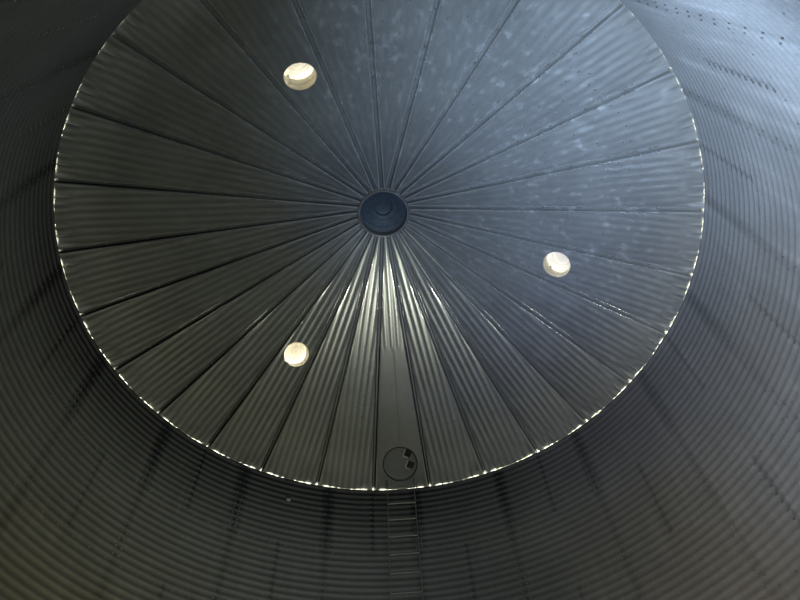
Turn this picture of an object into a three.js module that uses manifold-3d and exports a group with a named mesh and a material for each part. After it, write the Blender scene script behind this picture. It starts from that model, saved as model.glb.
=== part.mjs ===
// Round corrugated steel grain silo, 27 ft across and seven wall rings high.
// Millimetres, +Z up. The origin is on the silo's axis at ground level.
// +Y points at the roof hatch, and at the two ladders below it. Azimuths are degrees from +X towards +Y.

import * as THREE from "three";
import { mergeVertices } from "three/addons/utils/BufferGeometryUtils.js";
import Module from "manifold-3d";

const wasm = await Module();
wasm.setup();

// Driving dimensions: the wall
const RADIUS = 4115; // middle of the corrugated wall, half of 27 ft
const RINGS = 7;
const RING_COVER = 1117.6; // height that one ring of sheets covers, 44 in
const CORRUGATION = 13; // depth of the wall's corrugation, crest to crest
const BAYS = 9; // sheets in one ring
const BAY_AZ = 77; // middle of the first bay
const FACET = 4; // degrees of wall to one flat facet
const FOOT_WIDTH = 60; // flange that the wall stands on, inside
const FOOT_THICK = 6;
const GAP = 0.3; // left between pieces that touch

// Driving dimensions: the roof
const PITCH = 30;
const PANELS = 27;
const PANEL_THICK = 10; // flutes included
const OVERHANG = 60; // of the panels beyond the middle of the wall
const PANEL_TOP = 412; // distance from the axis where the panels end
const RIB_WIDTH = 76;
const RIB_CREST = 48;
const RIB_RISE = 45; // above the panel's top
const RIB_TOP = 540; // distance from the axis where the ribs end

// Driving dimensions: the stiffeners outside the wall
const STIFFENER_OFFSET = 10; // degrees either side of a bay's middle
const STIFFENER_FLANGE = 55; // half of the width over the flanges
const STIFFENER_DEPTH = 50;
const STIFFENER_SHEET = 4;
const STIFFENER_TOP = 80; // below the eave
const FOOT_PLATE = { width: 160, depth: 130, thick: 10 };

// Driving dimensions: the peak
const COLLAR_RADIUS = 404;
const COLLAR_SHEET = 6;
const COLLAR_LIP = 22;
const COLLAR_DROP = 30; // of the lip below the panels
const COLLAR_RISE = 130;
const COLLAR_SEAT = 520; // outer edge of the flange that the panels are bolted to
const CAP_SHEET = 5;
const CAP_SKIRT = 50;
const CAP_PITCH = 20;
const FILL_RADIUS = 145; // of the filling neck in the cap
const FILL_RISE = 40;

// Driving dimensions: vents, hatch, ladders, door and level switch
const THROAT_RADIUS = 200;
const THROAT_SHEET = 4;
const THROAT_RISE = 200;
const VENT_FLANGE = 238;
const HOOD = { rim: 300, flat: 100, rimZ: 240, flatZ: 304, sheet: 4, lip: 10 };
const VENTS = [
  { az: 130, out: 2430 },
  { az: 10, out: 2570 },
  { az: -110, out: 2600 },
];
const HATCH = { az: 90, out: 3744, radius: 295, sheet: 5, rise: 95, flange: 345 };
const LID = { lift: 5, skirt: 25, clear: 6.5, sheet: 4.5, dome: 8 };
const HINGE = { x: 340, z: 72, spacing: 100, pin: 5, bore: 5.3, boss: 12 };
const LADDER_X = -17;
const LADDER_WIDTH = 440; // between the middles of the stiles
const STILE = { width: 32, depth: 38 };
const RUNG_RADIUS = 14;
const RUNG_PITCH = 304.8;
const TOP_RUNG = 102; // below the eave
const STANDOFF = 150; // from the wall's middle to the rungs
const DOOR = { az: -83, width: 760, height: 1600, sill: 330, frame: 50, inner: 4070, outer: 4180, leaf: 28 };
const SWITCH = { az: 116.2, drop: 390, width: 84, height: 120, plate: 5, boss: 34, reach: 46 };

const EAVE_Z = RINGS * RING_COVER;
const WALL_IN = RADIUS - CORRUGATION / 2;
const WALL_OUT = RADIUS + CORRUGATION / 2;
const PANEL_STEP = 360 / PANELS;
const HALF_PANEL = THREE.MathUtils.degToRad(PANEL_STEP / 2);
const SLOPE = Math.tan(THREE.MathUtils.degToRad(PITCH));
const rad = THREE.MathUtils.degToRad;

const steel = (name, color, roughness, metalness = 0.85) =>
  new THREE.MeshStandardMaterial({ name, color, roughness, metalness });
const wallSteel = steel("wall_sheet", 0x8b9088, 0.45);
const roofSteel = steel("roof_sheet", 0x969a92, 0.38);
const framingSteel = steel("framing", 0x9a9d98, 0.5);
const ladderSteel = steel("ladder", 0xa3a6a0, 0.42);
const ventSteel = steel("vent", 0xc9c6b6, 0.5, 0.6);
const capSteel = steel("cap", 0x8f948f, 0.5);
const hatchSteel = steel("hatch", 0x7d827c, 0.5);
const doorSteel = steel("door", 0x9b9f9a, 0.48);
const switchPaint = steel("switch", 0x4a4d4a, 0.6, 0.2);

const model = new THREE.Group();

/** A closed mesh as a solid that can be joined and cut. */
function solid(geometry) {
  const bare = geometry.clone();
  for (const name of ["normal", "uv"]) bare.deleteAttribute(name);
  const merged = mergeVertices(bare, 1e-3);
  return new wasm.Manifold(
    new wasm.Mesh({
      numProp: 3,
      vertProperties: new Float32Array(merged.attributes.position.array),
      triVerts: new Uint32Array(merged.index.array),
    }),
  );
}

/** The geometry of a joined or cut solid. */
function shapeOf(body) {
  const mesh = body.getMesh();
  const geometry = new THREE.BufferGeometry();
  geometry.setAttribute("position", new THREE.BufferAttribute(mesh.vertProperties, 3));
  geometry.setIndex(new THREE.BufferAttribute(mesh.triVerts, 1));
  geometry.computeVertexNormals();
  return geometry;
}

/** Names a piece, gives it its finish and hangs it in the model. */
function add(name, geometry, material, place = new THREE.Matrix4()) {
  const mesh = new THREE.Mesh(geometry, material);
  mesh.name = name;
  mesh.applyMatrix4(place);
  model.add(mesh);
}

/** A box between two corners. */
function block(low, high) {
  const size = high.map((value, i) => value - low[i]);
  const middle = high.map((value, i) => (value + low[i]) / 2);
  return new THREE.BoxGeometry(...size).translate(...middle);
}

/** A full turn of a profile of [radius, height] points about Z, listed counter-clockwise. */
function turned(profile, segments) {
  const points = profile.map(([r, z]) => new THREE.Vector2(r, z));
  if (profile[0][0] > 0) points.push(points[0].clone());
  return new THREE.LatheGeometry(points, segments).rotateX(Math.PI / 2);
}

/** A stretch of a ring: a profile of [radius, height] points carried from one azimuth to another. */
function ringPiece(profile, from, to, steps) {
  const position = [];
  for (let i = 0; i <= steps; i++) {
    const angle = rad(from + ((to - from) * i) / steps);
    for (const [r, z] of profile) position.push(r * Math.cos(angle), r * Math.sin(angle), z);
  }
  const count = profile.length;
  const index = [];
  for (let i = 0; i < steps; i++) {
    for (let j = 0; j < count; j++) {
      const a = i * count + j;
      const d = i * count + ((j + 1) % count);
      index.push(a, a + count, d + count, a, d + count, d);
    }
  }
  const outline = profile.map(([r, z]) => new THREE.Vector2(r, z));
  const last = steps * count;
  for (const [a, b, c] of THREE.ShapeUtils.triangulateShape(outline, [])) {
    index.push(a, b, c, last + a, last + c, last + b);
  }
  const geometry = new THREE.BufferGeometry();
  geometry.setAttribute("position", new THREE.Float32BufferAttribute(position, 3));
  geometry.setIndex(index);
  return geometry;
}

/** An outline of [x, y] points pushed along +Z. */
function pushed(outline, depth) {
  const shape = new THREE.Shape(outline.map(([x, y]) => new THREE.Vector2(x, y)));
  return new THREE.ExtrudeGeometry(shape, { depth, bevelEnabled: false });
}

/** A rod of few sides along X. */
function rodAlongX(radius, from, to, y, z, sides = 8) {
  const rod = new THREE.CylinderGeometry(radius, radius, to - from, sides);
  return rod.rotateZ(Math.PI / 2).translate((from + to) / 2, y, z);
}

/** The frame of a spot on the wall line: X across, Y outwards, Z up, its origin on the axis. */
const facing = (az) => new THREE.Matrix4().makeRotationZ(rad(az - 90));

/** Height of a panel's underside at a distance from the axis, along the panel's own middle. */
const underside = (out) => EAVE_Z + GAP / Math.cos(rad(PITCH)) + (WALL_OUT - out) * SLOPE;

/** The frame of a spot on a roof panel: X across, Y down the slope, Z out of the roof. */
function onRoof(az, out) {
  const up = new THREE.Vector3(
    Math.sin(rad(PITCH)) * Math.cos(rad(az)),
    Math.sin(rad(PITCH)) * Math.sin(rad(az)),
    Math.cos(rad(PITCH)),
  );
  const across = new THREE.Vector3(Math.sin(rad(az)), -Math.cos(rad(az)), 0);
  const down = up.clone().cross(across);
  const spot = new THREE.Vector3(out * Math.cos(rad(az)), out * Math.sin(rad(az)), underside(out));
  return new THREE.Matrix4().makeBasis(across, down, up).setPosition(spot);
}

// The wall's facets grown by the gap, which trims whatever is carried by the wall
const wallRoom = solid(
  turned(
    [
      [WALL_IN - GAP, -50],
      [WALL_OUT + GAP, -50],
      [WALL_OUT + GAP, EAVE_Z],
      [WALL_IN - GAP, EAVE_Z],
    ],
    360 / FACET,
  ).rotateZ(rad(BAY_AZ - 90)),
);

/** The nine bays of the wall, each standing on its foot flange, one parted round the door. */
function buildWall() {
  const profile = [
    [WALL_OUT, 0],
    [WALL_OUT, EAVE_Z],
    [WALL_IN, EAVE_Z],
    [WALL_IN, FOOT_THICK],
    [WALL_IN - FOOT_WIDTH, FOOT_THICK],
    [WALL_IN - FOOT_WIDTH, 0],
  ];
  const half = 180 / BAYS;
  const seam = THREE.MathUtils.radToDeg(GAP / 2 / WALL_IN);
  const steps = (2 * half) / FACET;
  for (let i = 0; i < BAYS; i++) {
    const az = BAY_AZ - i * 2 * half;
    const bay = ringPiece(profile, az - half + seam, az + half - seam, steps);
    if (az === DOOR.az) buildDoorBay(bay, `wall_bay_${i + 1}`);
    else add(`wall_bay_${i + 1}`, bay, wallSteel);
  }
}

/** The bay with the door, in four sheets: over it, beside it on both sides and under its sill. */
function buildDoorBay(bay, name) {
  const edge = DOOR.width / 2 + DOOR.frame + GAP;
  const sill = DOOR.sill - DOOR.frame - GAP;
  const lintel = DOOR.sill + DOOR.height + DOOR.frame + GAP;
  const near = DOOR.inner - 300;
  const far = DOOR.outer + 100;
  const sheets = {
    [name]: [[-3000, near, lintel + GAP], [3000, far, EAVE_Z + 10]],
    wall_left_of_door: [[-3000, near, -10], [-edge, far, lintel]],
    wall_right_of_door: [[edge, near, -10], [3000, far, lintel]],
    wall_under_door: [[-edge + GAP, near, -10], [edge - GAP, far, sill]],
  };
  const whole = solid(bay);
  for (const [sheet, [low, high]] of Object.entries(sheets)) {
    const room = solid(block(low, high).applyMatrix4(facing(DOOR.az)));
    add(sheet, shapeOf(whole.intersect(room)), wallSteel);
  }
}

const stiffenerSeat = WALL_OUT * Math.cos(rad(FACET / 2)) + GAP;

/** The hat-shaped posts outside the wall, two to a bay, each on its foot plate. */
function buildStiffeners() {
  const t = STIFFENER_SHEET;
  const crown = STIFFENER_FLANGE - 27;
  const shoulder = STIFFENER_FLANGE - 23;
  const half = [
    [STIFFENER_FLANGE, 0],
    [STIFFENER_FLANGE, t],
    [shoulder, t],
    [crown, STIFFENER_DEPTH],
  ];
  const inner = [
    [crown - t, STIFFENER_DEPTH - t],
    [shoulder - t, 0],
  ];
  const mirrored = (points) => points.map(([x, y]) => [-x, y]).reverse();
  const section = [...half, ...mirrored(half), ...mirrored(inner), ...inner];
  const post = solid(pushed(section, EAVE_Z - STIFFENER_TOP));
  const { width, depth, thick } = FOOT_PLATE;
  const foot = solid(block([-width / 2, 0, 0], [width / 2, depth, thick]));
  const shape = shapeOf(post.add(foot)).translate(0, stiffenerSeat, 0);
  for (let i = 0; i < 2 * BAYS; i++) {
    const az = BAY_AZ + STIFFENER_OFFSET - (i * 180) / BAYS;
    add(`stiffener_${i + 1}`, shape.clone(), framingSteel, facing(az));
  }
}

/** One raised rib along the joint of two panels. Its far side rests on the next sector when it is a seam. */
function rib(az, seam) {
  const w = RIB_WIDTH / 2;
  const c = RIB_CREST / 2;
  const root = -5;
  const crown = PANEL_THICK + RIB_RISE;
  const far = PANEL_THICK + GAP + 0.1;
  const near = PANEL_THICK + root;
  const foot = seam
    ? [
        [-w, near],
        [-1, near],
        [-1, far],
        [w, far],
      ]
    : [
        [-w, near],
        [w, near],
      ];
  const section = [...foot, [c, crown], [-c, crown]];
  const slope = Math.atan(SLOPE * Math.cos(HALF_PANEL));
  const low = (RADIUS + OVERHANG) / Math.cos(HALF_PANEL) - 2;
  const across = new THREE.Vector3(Math.sin(rad(az)), -Math.cos(rad(az)), 0);
  const up = new THREE.Vector3(
    Math.sin(slope) * Math.cos(rad(az)),
    Math.sin(slope) * Math.sin(rad(az)),
    Math.cos(slope),
  );
  const along = across.clone().cross(up);
  const end = new THREE.Vector3(
    low * Math.cos(rad(az)),
    low * Math.sin(rad(az)),
    underside(low * Math.cos(HALF_PANEL)),
  );
  const place = new THREE.Matrix4().makeBasis(across, up, along).setPosition(end);
  return solid(pushed(section, (low - RIB_TOP) / Math.cos(slope)).applyMatrix4(place));
}

/** A round hole square to the roof, its flat sides just clear of the radius. */
function roofHole(az, out, radius) {
  const sides = 32;
  const reach = radius / Math.cos(Math.PI / sides);
  const tool = new THREE.CylinderGeometry(reach, reach, 400, sides).rotateX(Math.PI / 2);
  return solid(tool.applyMatrix4(onRoof(az, out)));
}

/** The nine roof sectors, each of three flat panels with their ribs. */
function buildRoof() {
  const inner = PANEL_TOP / Math.cos(HALF_PANEL);
  const outer = (RADIUS + OVERHANG) / Math.cos(HALF_PANEL);
  const low = (r) => underside(r * Math.cos(HALF_PANEL));
  const thick = PANEL_THICK / Math.cos(rad(PITCH));
  const profile = [
    [inner, low(inner)],
    [outer, low(outer)],
    [outer, low(outer) + thick],
    [inner, low(inner) + thick],
  ];
  const seam = THREE.MathUtils.radToDeg(GAP / 2 / inner);
  const perSector = PANELS / 9;
  const span = PANEL_STEP * perSector;
  const holes = VENTS.map(({ az, out }) => ({ az, cut: roofHole(az, out, THROAT_RADIUS + THROAT_SHEET + GAP) }));
  holes.push({ az: HATCH.az, cut: roofHole(HATCH.az, HATCH.out, HATCH.radius + HATCH.sheet + GAP) });
  for (let i = 0; i < 9; i++) {
    const middle = HATCH.az - i * span;
    const from = middle - span / 2;
    let sector = solid(ringPiece(profile, from + seam, from + span - seam, perSector));
    for (let k = 0; k < perSector; k++) sector = sector.add(rib(from + k * PANEL_STEP, k === 0));
    for (const { az, cut } of holes) {
      const turn = THREE.MathUtils.euclideanModulo(az - from, 360);
      if (turn < span) sector = sector.subtract(cut);
    }
    add(`roof_sector_${i + 1}`, shapeOf(sector), roofSteel);
  }
}

/** The collar that the panels hang from, in four quarters, the cap over it and the filling lid. */
function buildPeak() {
  const segments = 56;
  const r = COLLAR_RADIUS;
  const seat = underside(r);
  const bottom = seat - COLLAR_DROP;
  const top = seat + COLLAR_RISE;
  const inside = r - COLLAR_SHEET;
  const lip = r - COLLAR_LIP;
  const flange = (radius, below) => [radius, underside(radius) - below];
  const collar = [
    [lip, bottom],
    [r, bottom],
    flange(r, 6),
    flange(COLLAR_SEAT, 6),
    flange(COLLAR_SEAT, 0.5),
    flange(r, 0.5),
    [r, top],
    [inside, top],
    [inside, bottom + CAP_SHEET],
    [lip, bottom + CAP_SHEET],
  ];
  const joint = THREE.MathUtils.radToDeg(GAP / 2 / lip);
  for (let i = 0; i < 4; i++) {
    const from = HATCH.az - 90 * i;
    add(`peak_ring_${i + 1}`, ringPiece(collar, from + joint, from + 90 - joint, segments / 4), framingSteel);
  }

  const skirt = r + 8;
  const rise = Math.tan(rad(CAP_PITCH));
  const ledge = inside - 2;
  const neckIn = FILL_RADIUS;
  const neckOut = FILL_RADIUS + CAP_SHEET;
  const crown = top + CAP_SHEET + (skirt - neckOut) * rise;
  const neckTop = crown + FILL_RISE;
  const cap = [
    [skirt, top - CAP_SKIRT],
    [skirt + CAP_SHEET, top - CAP_SKIRT],
    [skirt + CAP_SHEET, top + CAP_SHEET],
    [neckOut, crown],
    [neckOut, neckTop],
    [neckIn, neckTop],
    [neckIn, top + GAP + (ledge - neckIn) * rise],
    [ledge, top + GAP],
    [skirt, top + GAP],
  ];
  add("peak_cap", turned(cap, segments), capSteel);

  const rim = neckOut + 6;
  const lid = [
    [0, neckTop + GAP],
    [rim, neckTop + GAP],
    [rim, neckTop - 25],
    [rim + 4, neckTop - 25],
    [rim + 4, neckTop + 8],
    [0.7 * rim, neckTop + 30],
    [0, neckTop + 42],
  ];
  add("fill_lid", turned(lid, 36), capSteel);
}

/** Three mushroom vents: a short throat square to the roof, three straps and a hood. */
function buildVents() {
  const inner = THROAT_RADIUS;
  const outer = THROAT_RADIUS + THROAT_SHEET;
  const flange = PANEL_THICK + GAP;
  const throat = solid(
    turned(
      [
        [inner, 0],
        [outer, 0],
        [outer, flange],
        [VENT_FLANGE, flange],
        [VENT_FLANGE, flange + 4],
        [outer, flange + 4],
        [outer, THROAT_RISE],
        [inner, THROAT_RISE],
      ],
      28,
    ),
  );
  const under = HOOD.sheet;
  const sides = 32;
  const fall = (HOOD.flatZ - HOOD.rimZ) / (HOOD.rim - under - HOOD.flat);
  const strapReach = (outer + 2) / Math.cos(Math.PI / sides);
  const strapTop = HOOD.flatZ - under - (strapReach - HOOD.flat) * fall - GAP;
  let neck = throat;
  for (const turn of [90, 210, 330]) {
    const strap = block([-12, inner - 2, THROAT_RISE - 30], [12, outer + 1, strapTop]).rotateZ(rad(turn));
    neck = neck.add(solid(strap));
  }
  const hood = [
    [0, HOOD.flatZ - under],
    [HOOD.flat, HOOD.flatZ - under],
    [HOOD.rim - under, HOOD.rimZ - under],
    [HOOD.rim - under, HOOD.rimZ - HOOD.lip],
    [HOOD.rim, HOOD.rimZ - HOOD.lip],
    [HOOD.rim, HOOD.rimZ],
    [HOOD.flat, HOOD.flatZ],
    [0, HOOD.flatZ],
  ];
  VENTS.forEach(({ az, out }, i) => {
    add(`vent_neck_${i + 1}`, shapeOf(neck), ventSteel, onRoof(az, out));
    add(`vent_hood_${i + 1}`, turned(hood, sides), ventSteel, onRoof(az, out));
  });
}

/** A flat plate across the hinge line: an outline of [x, z] points, thick along Y. */
function plateAcross(outline, y, thick) {
  return solid(pushed(outline, thick).rotateX(Math.PI / 2).translate(0, y + thick / 2, 0));
}

/** A rod along Y on the hinge line. */
function hingeRod(radius, y, length, sides = 16) {
  return solid(new THREE.CylinderGeometry(radius, radius, length, sides).translate(HINGE.x, y, HINGE.z));
}

/** The curb round the roof hatch, with the fixed half of its two hinges. */
function buildHatchCurb() {
  const inner = HATCH.radius;
  const outer = HATCH.radius + HATCH.sheet;
  const flange = PANEL_THICK + GAP;
  let curb = solid(
    turned(
      [
        [inner, 0],
        [outer, 0],
        [outer, flange],
        [HATCH.flange, flange],
        [HATCH.flange, flange + 4],
        [outer, flange + 4],
        [outer, HATCH.rise],
        [inner, HATCH.rise],
      ],
      36,
    ),
  );
  const root = inner - 27;
  const ear = [
    [root, 30],
    [HINGE.x - 14, 30],
    [HINGE.x + 12, HINGE.z - 10],
    [HINGE.x + 12, HINGE.z + 12],
    [HINGE.x - 10, HINGE.z + 12],
    [HINGE.x - 16, HINGE.z - 4],
    [root, HINGE.z - 4],
  ];
  const earThick = 8;
  const earStep = 15;
  for (const side of [-1, 1]) {
    const y = side * HINGE.spacing;
    for (const way of [-1, 1]) curb = curb.add(plateAcross(ear, y + way * earStep, earThick));
    curb = curb.add(hingeRod(HINGE.pin, y, 2 * earStep));
  }
  const throat = solid(turned([[0, -10], [inner, -10], [inner, HATCH.rise + 10], [0, HATCH.rise + 10]], 36));
  add("hatch_curb", shapeOf(curb.subtract(throat)), hatchSteel, onRoof(HATCH.az, HATCH.out));
}

/** The hatch lid, closed, with its hinge arms, its grab handle and its hasp. */
function buildHatchLid() {
  const inner = HATCH.radius + HATCH.sheet + LID.clear;
  const outer = inner + LID.sheet;
  const low = HATCH.rise + LID.lift;
  const top = low + LID.sheet;
  let lid = solid(
    turned(
      [
        [0, low],
        [inner, low],
        [inner, low - LID.skirt],
        [outer, low - LID.skirt],
        [outer, top],
        [0, top + LID.dome],
      ],
      36,
    ),
  );
  const arm = [
    [inner - 28, low + 1],
    [inner - 6, low + 1],
    [HINGE.x - 10, HINGE.z - 2],
    [HINGE.x + 10, HINGE.z - 2],
    [HINGE.x + 10, HINGE.z + 8],
    [HINGE.x - 12, low + 10],
    [inner - 28, low + 10],
  ];
  for (const side of [-1, 1]) {
    const y = side * HINGE.spacing;
    const thick = 12;
    lid = lid.add(plateAcross(arm, y, thick)).add(hingeRod(HINGE.boss, y, thick));
    lid = lid.subtract(hingeRod(HINGE.bore / Math.cos(Math.PI / 16), y, thick + 4));
  }
  const grip = top + 45;
  for (const y of [-50, 50]) lid = lid.add(solid(block([-232, y - 6, top - 2], [-220, y + 6, grip])));
  lid = lid.add(solid(block([-232, -56, grip - 12], [-220, 56, grip])));
  lid = lid.add(solid(block([-outer - 8, -20, low - LID.skirt - 10], [-outer + 2, 20, top])));
  add("hatch_lid", shapeOf(lid), hatchSteel, onRoof(HATCH.az, HATCH.out));
}

/** A ladder on the +Y side: two stiles, the rungs and the brackets that hold it off the wall. */
function ladder(out, low, high, rungs, brackets) {
  const half = LADDER_WIDTH / 2;
  const reach = RADIUS - 6;
  let body = null;
  const join = (geometry) => {
    body = body ? body.add(solid(geometry)) : solid(geometry);
  };
  for (const side of [-1, 1]) {
    const x = LADDER_X + side * half;
    const w = STILE.width / 2;
    join(block([x - w, out - STILE.depth / 2, low], [x + w, out + STILE.depth / 2, high]));
    for (const z of brackets) {
      const near = Math.min(out, reach);
      join(block([x - w + 3, near, z - 20], [x + w - 3, near + Math.abs(out - reach), z + 20]));
    }
  }
  for (const z of rungs) join(rodAlongX(RUNG_RADIUS, LADDER_X - half, LADDER_X + half, out, z));
  return body.subtract(wallRoom);
}

/** The ladder inside, which hangs on the wall below the hatch. */
function buildInsideLadder() {
  const out = RADIUS - STANDOFF;
  const rungs = [];
  for (let z = EAVE_Z - TOP_RUNG; z > 380; z -= RUNG_PITCH) rungs.push(z);
  const brackets = [1.5, 7.5, 13.5, 19.5, 23.5].map((n) => EAVE_Z - TOP_RUNG - n * RUNG_PITCH);
  const top = underside(out + STILE.depth / 2) - 8;
  const body = ladder(out, 330, top, rungs, brackets);
  add("inside_ladder", shapeOf(body), ladderSteel);
}

/** The ladder outside. On one side it is carried by the stiffener behind it. */
function buildOutsideLadder() {
  const out = RADIUS + STANDOFF;
  const rungs = [];
  for (let z = EAVE_Z + 2 * RUNG_PITCH - TOP_RUNG; z > 700; z -= RUNG_PITCH) rungs.push(z);
  const brackets = [3.5, 9.5, 15.5, 21.5].map((n) => EAVE_Z + 2 * RUNG_PITCH - TOP_RUNG - n * RUNG_PITCH);
  const body = ladder(out, 620, EAVE_Z + 700, rungs, brackets);
  const w = STIFFENER_FLANGE + GAP;
  const behind = block([-w, 0, -10], [w, stiffenerSeat + STIFFENER_DEPTH + GAP, EAVE_Z]);
  const room = solid(behind.applyMatrix4(facing(BAY_AZ + STIFFENER_OFFSET)));
  add("outside_ladder", shapeOf(body.subtract(room)), ladderSteel);
}

/** The door's frame through the wall, and its leaf closed against it. */
function buildDoor() {
  const half = DOOR.width / 2;
  const top = DOOR.sill + DOOR.height;
  const f = DOOR.frame;
  const outside = solid(block([-half - f, DOOR.inner, DOOR.sill - f], [half + f, DOOR.outer, top + f]));
  const clear = solid(block([-half, DOOR.inner - 10, DOOR.sill], [half, DOOR.outer + 10, top]));
  add("door_frame", shapeOf(outside.subtract(clear)), doorSteel, facing(DOOR.az));

  const face = DOOR.outer + GAP;
  const edge = half + 40;
  let leaf = solid(block([-edge, face, DOOR.sill - 40], [edge, face + DOOR.leaf, top + 40]));
  const hinges = [DOOR.sill + 250, DOOR.sill + DOOR.height - 250];
  for (const z of hinges) {
    const barrel = new THREE.CylinderGeometry(14, 14, 140, 10).rotateX(Math.PI / 2);
    leaf = leaf.add(solid(barrel.translate(-edge, face + DOOR.leaf - 10, z)));
    leaf = leaf.add(solid(block([edge - 170, face + DOOR.leaf - 2, z - 18], [edge - 4, face + DOOR.leaf + 14, z + 18])));
  }
  add("door_leaf", shapeOf(leaf), doorSteel, facing(DOOR.az));
}

/** The small level switch high on the wall, inside: a plate, a round body and a block under it. */
function buildSwitch() {
  const { width, height, plate, boss, reach } = SWITCH;
  const z = EAVE_Z - SWITCH.drop;
  const back = block([-width / 2, WALL_IN - plate - 8, z - height / 2], [width / 2, WALL_IN + 4, z + height / 2]);
  const body = new THREE.CylinderGeometry(boss, boss, reach, 16).translate(0, WALL_IN - 8 - reach / 2, z + 14);
  const lower = block([-26, WALL_IN - 40, z - height / 2 + 6], [26, WALL_IN - 6, z - height / 2 + 26]);
  const whole = solid(back).add(solid(body)).add(solid(lower));
  const placed = solid(shapeOf(whole).applyMatrix4(facing(SWITCH.az)));
  add("level_switch", shapeOf(placed.subtract(wallRoom)), switchPaint);
}

buildWall();
buildStiffeners();
buildRoof();
buildPeak();
buildVents();
buildHatchCurb();
buildHatchLid();
buildInsideLadder();
buildOutsideLadder();
buildDoor();
buildSwitch();

export default model;
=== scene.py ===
"""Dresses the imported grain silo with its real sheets, ribs, bolts and finishes.

Lengths are metres and +Z is up. The origin is on the silo's axis at ground level, and +Y points at the
roof hatch. Azimuths are degrees from +X towards +Y.
"""

from __future__ import annotations

import logging
import math
from collections.abc import Callable, Iterable, Mapping, Sequence
from dataclasses import dataclass
from enum import Enum

import bmesh
import bpy
import numpy as np
from mathutils import Matrix, Vector


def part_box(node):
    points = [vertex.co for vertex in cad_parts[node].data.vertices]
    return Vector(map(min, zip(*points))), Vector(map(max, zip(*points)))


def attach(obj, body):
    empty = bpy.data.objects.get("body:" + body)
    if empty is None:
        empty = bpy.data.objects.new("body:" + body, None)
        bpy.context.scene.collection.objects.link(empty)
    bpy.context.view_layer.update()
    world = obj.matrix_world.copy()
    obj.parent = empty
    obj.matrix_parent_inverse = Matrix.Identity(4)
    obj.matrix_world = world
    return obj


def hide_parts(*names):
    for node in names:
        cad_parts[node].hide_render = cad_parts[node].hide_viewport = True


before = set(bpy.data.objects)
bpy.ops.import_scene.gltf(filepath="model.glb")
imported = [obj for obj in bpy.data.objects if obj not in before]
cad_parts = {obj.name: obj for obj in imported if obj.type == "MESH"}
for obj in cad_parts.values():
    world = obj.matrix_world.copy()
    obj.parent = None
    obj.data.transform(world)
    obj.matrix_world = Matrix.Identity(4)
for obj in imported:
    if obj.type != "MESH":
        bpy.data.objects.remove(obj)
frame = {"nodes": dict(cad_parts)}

LOG = logging.getLogger("silo")
MERGE_REACH = 2e-5  # points nearer than this become one
SLIVER = 1e-6  # edges shorter than this are dissolved
PER_RADIAN = 180 / math.pi  # degrees

Colour = tuple[float, float, float]
Point = Sequence[float]
Outline = Sequence[Sequence[float]]
Range = tuple[float, float]


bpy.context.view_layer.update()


class BodyName(Enum):
    """The bodies that a piece can ride on."""

    SHELL = "shell"
    LID = "hatch_lid"


class Facing(Enum):
    """What tells a sheet's outdoor face from its indoor one."""

    ROUND = "the wall's face away from the axis"
    UP = "the roof's upper face"
    NONE = "both faces are alike"


class Marks(Enum):
    """The darker marks that a sheet carries indoors: caulk lines, post bands and painted shade."""

    WALL = "along the sheet laps and the lines of stiffener bolts"
    ROOF = "in the two corners of each rib's hollow"
    NONE = "none"


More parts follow.
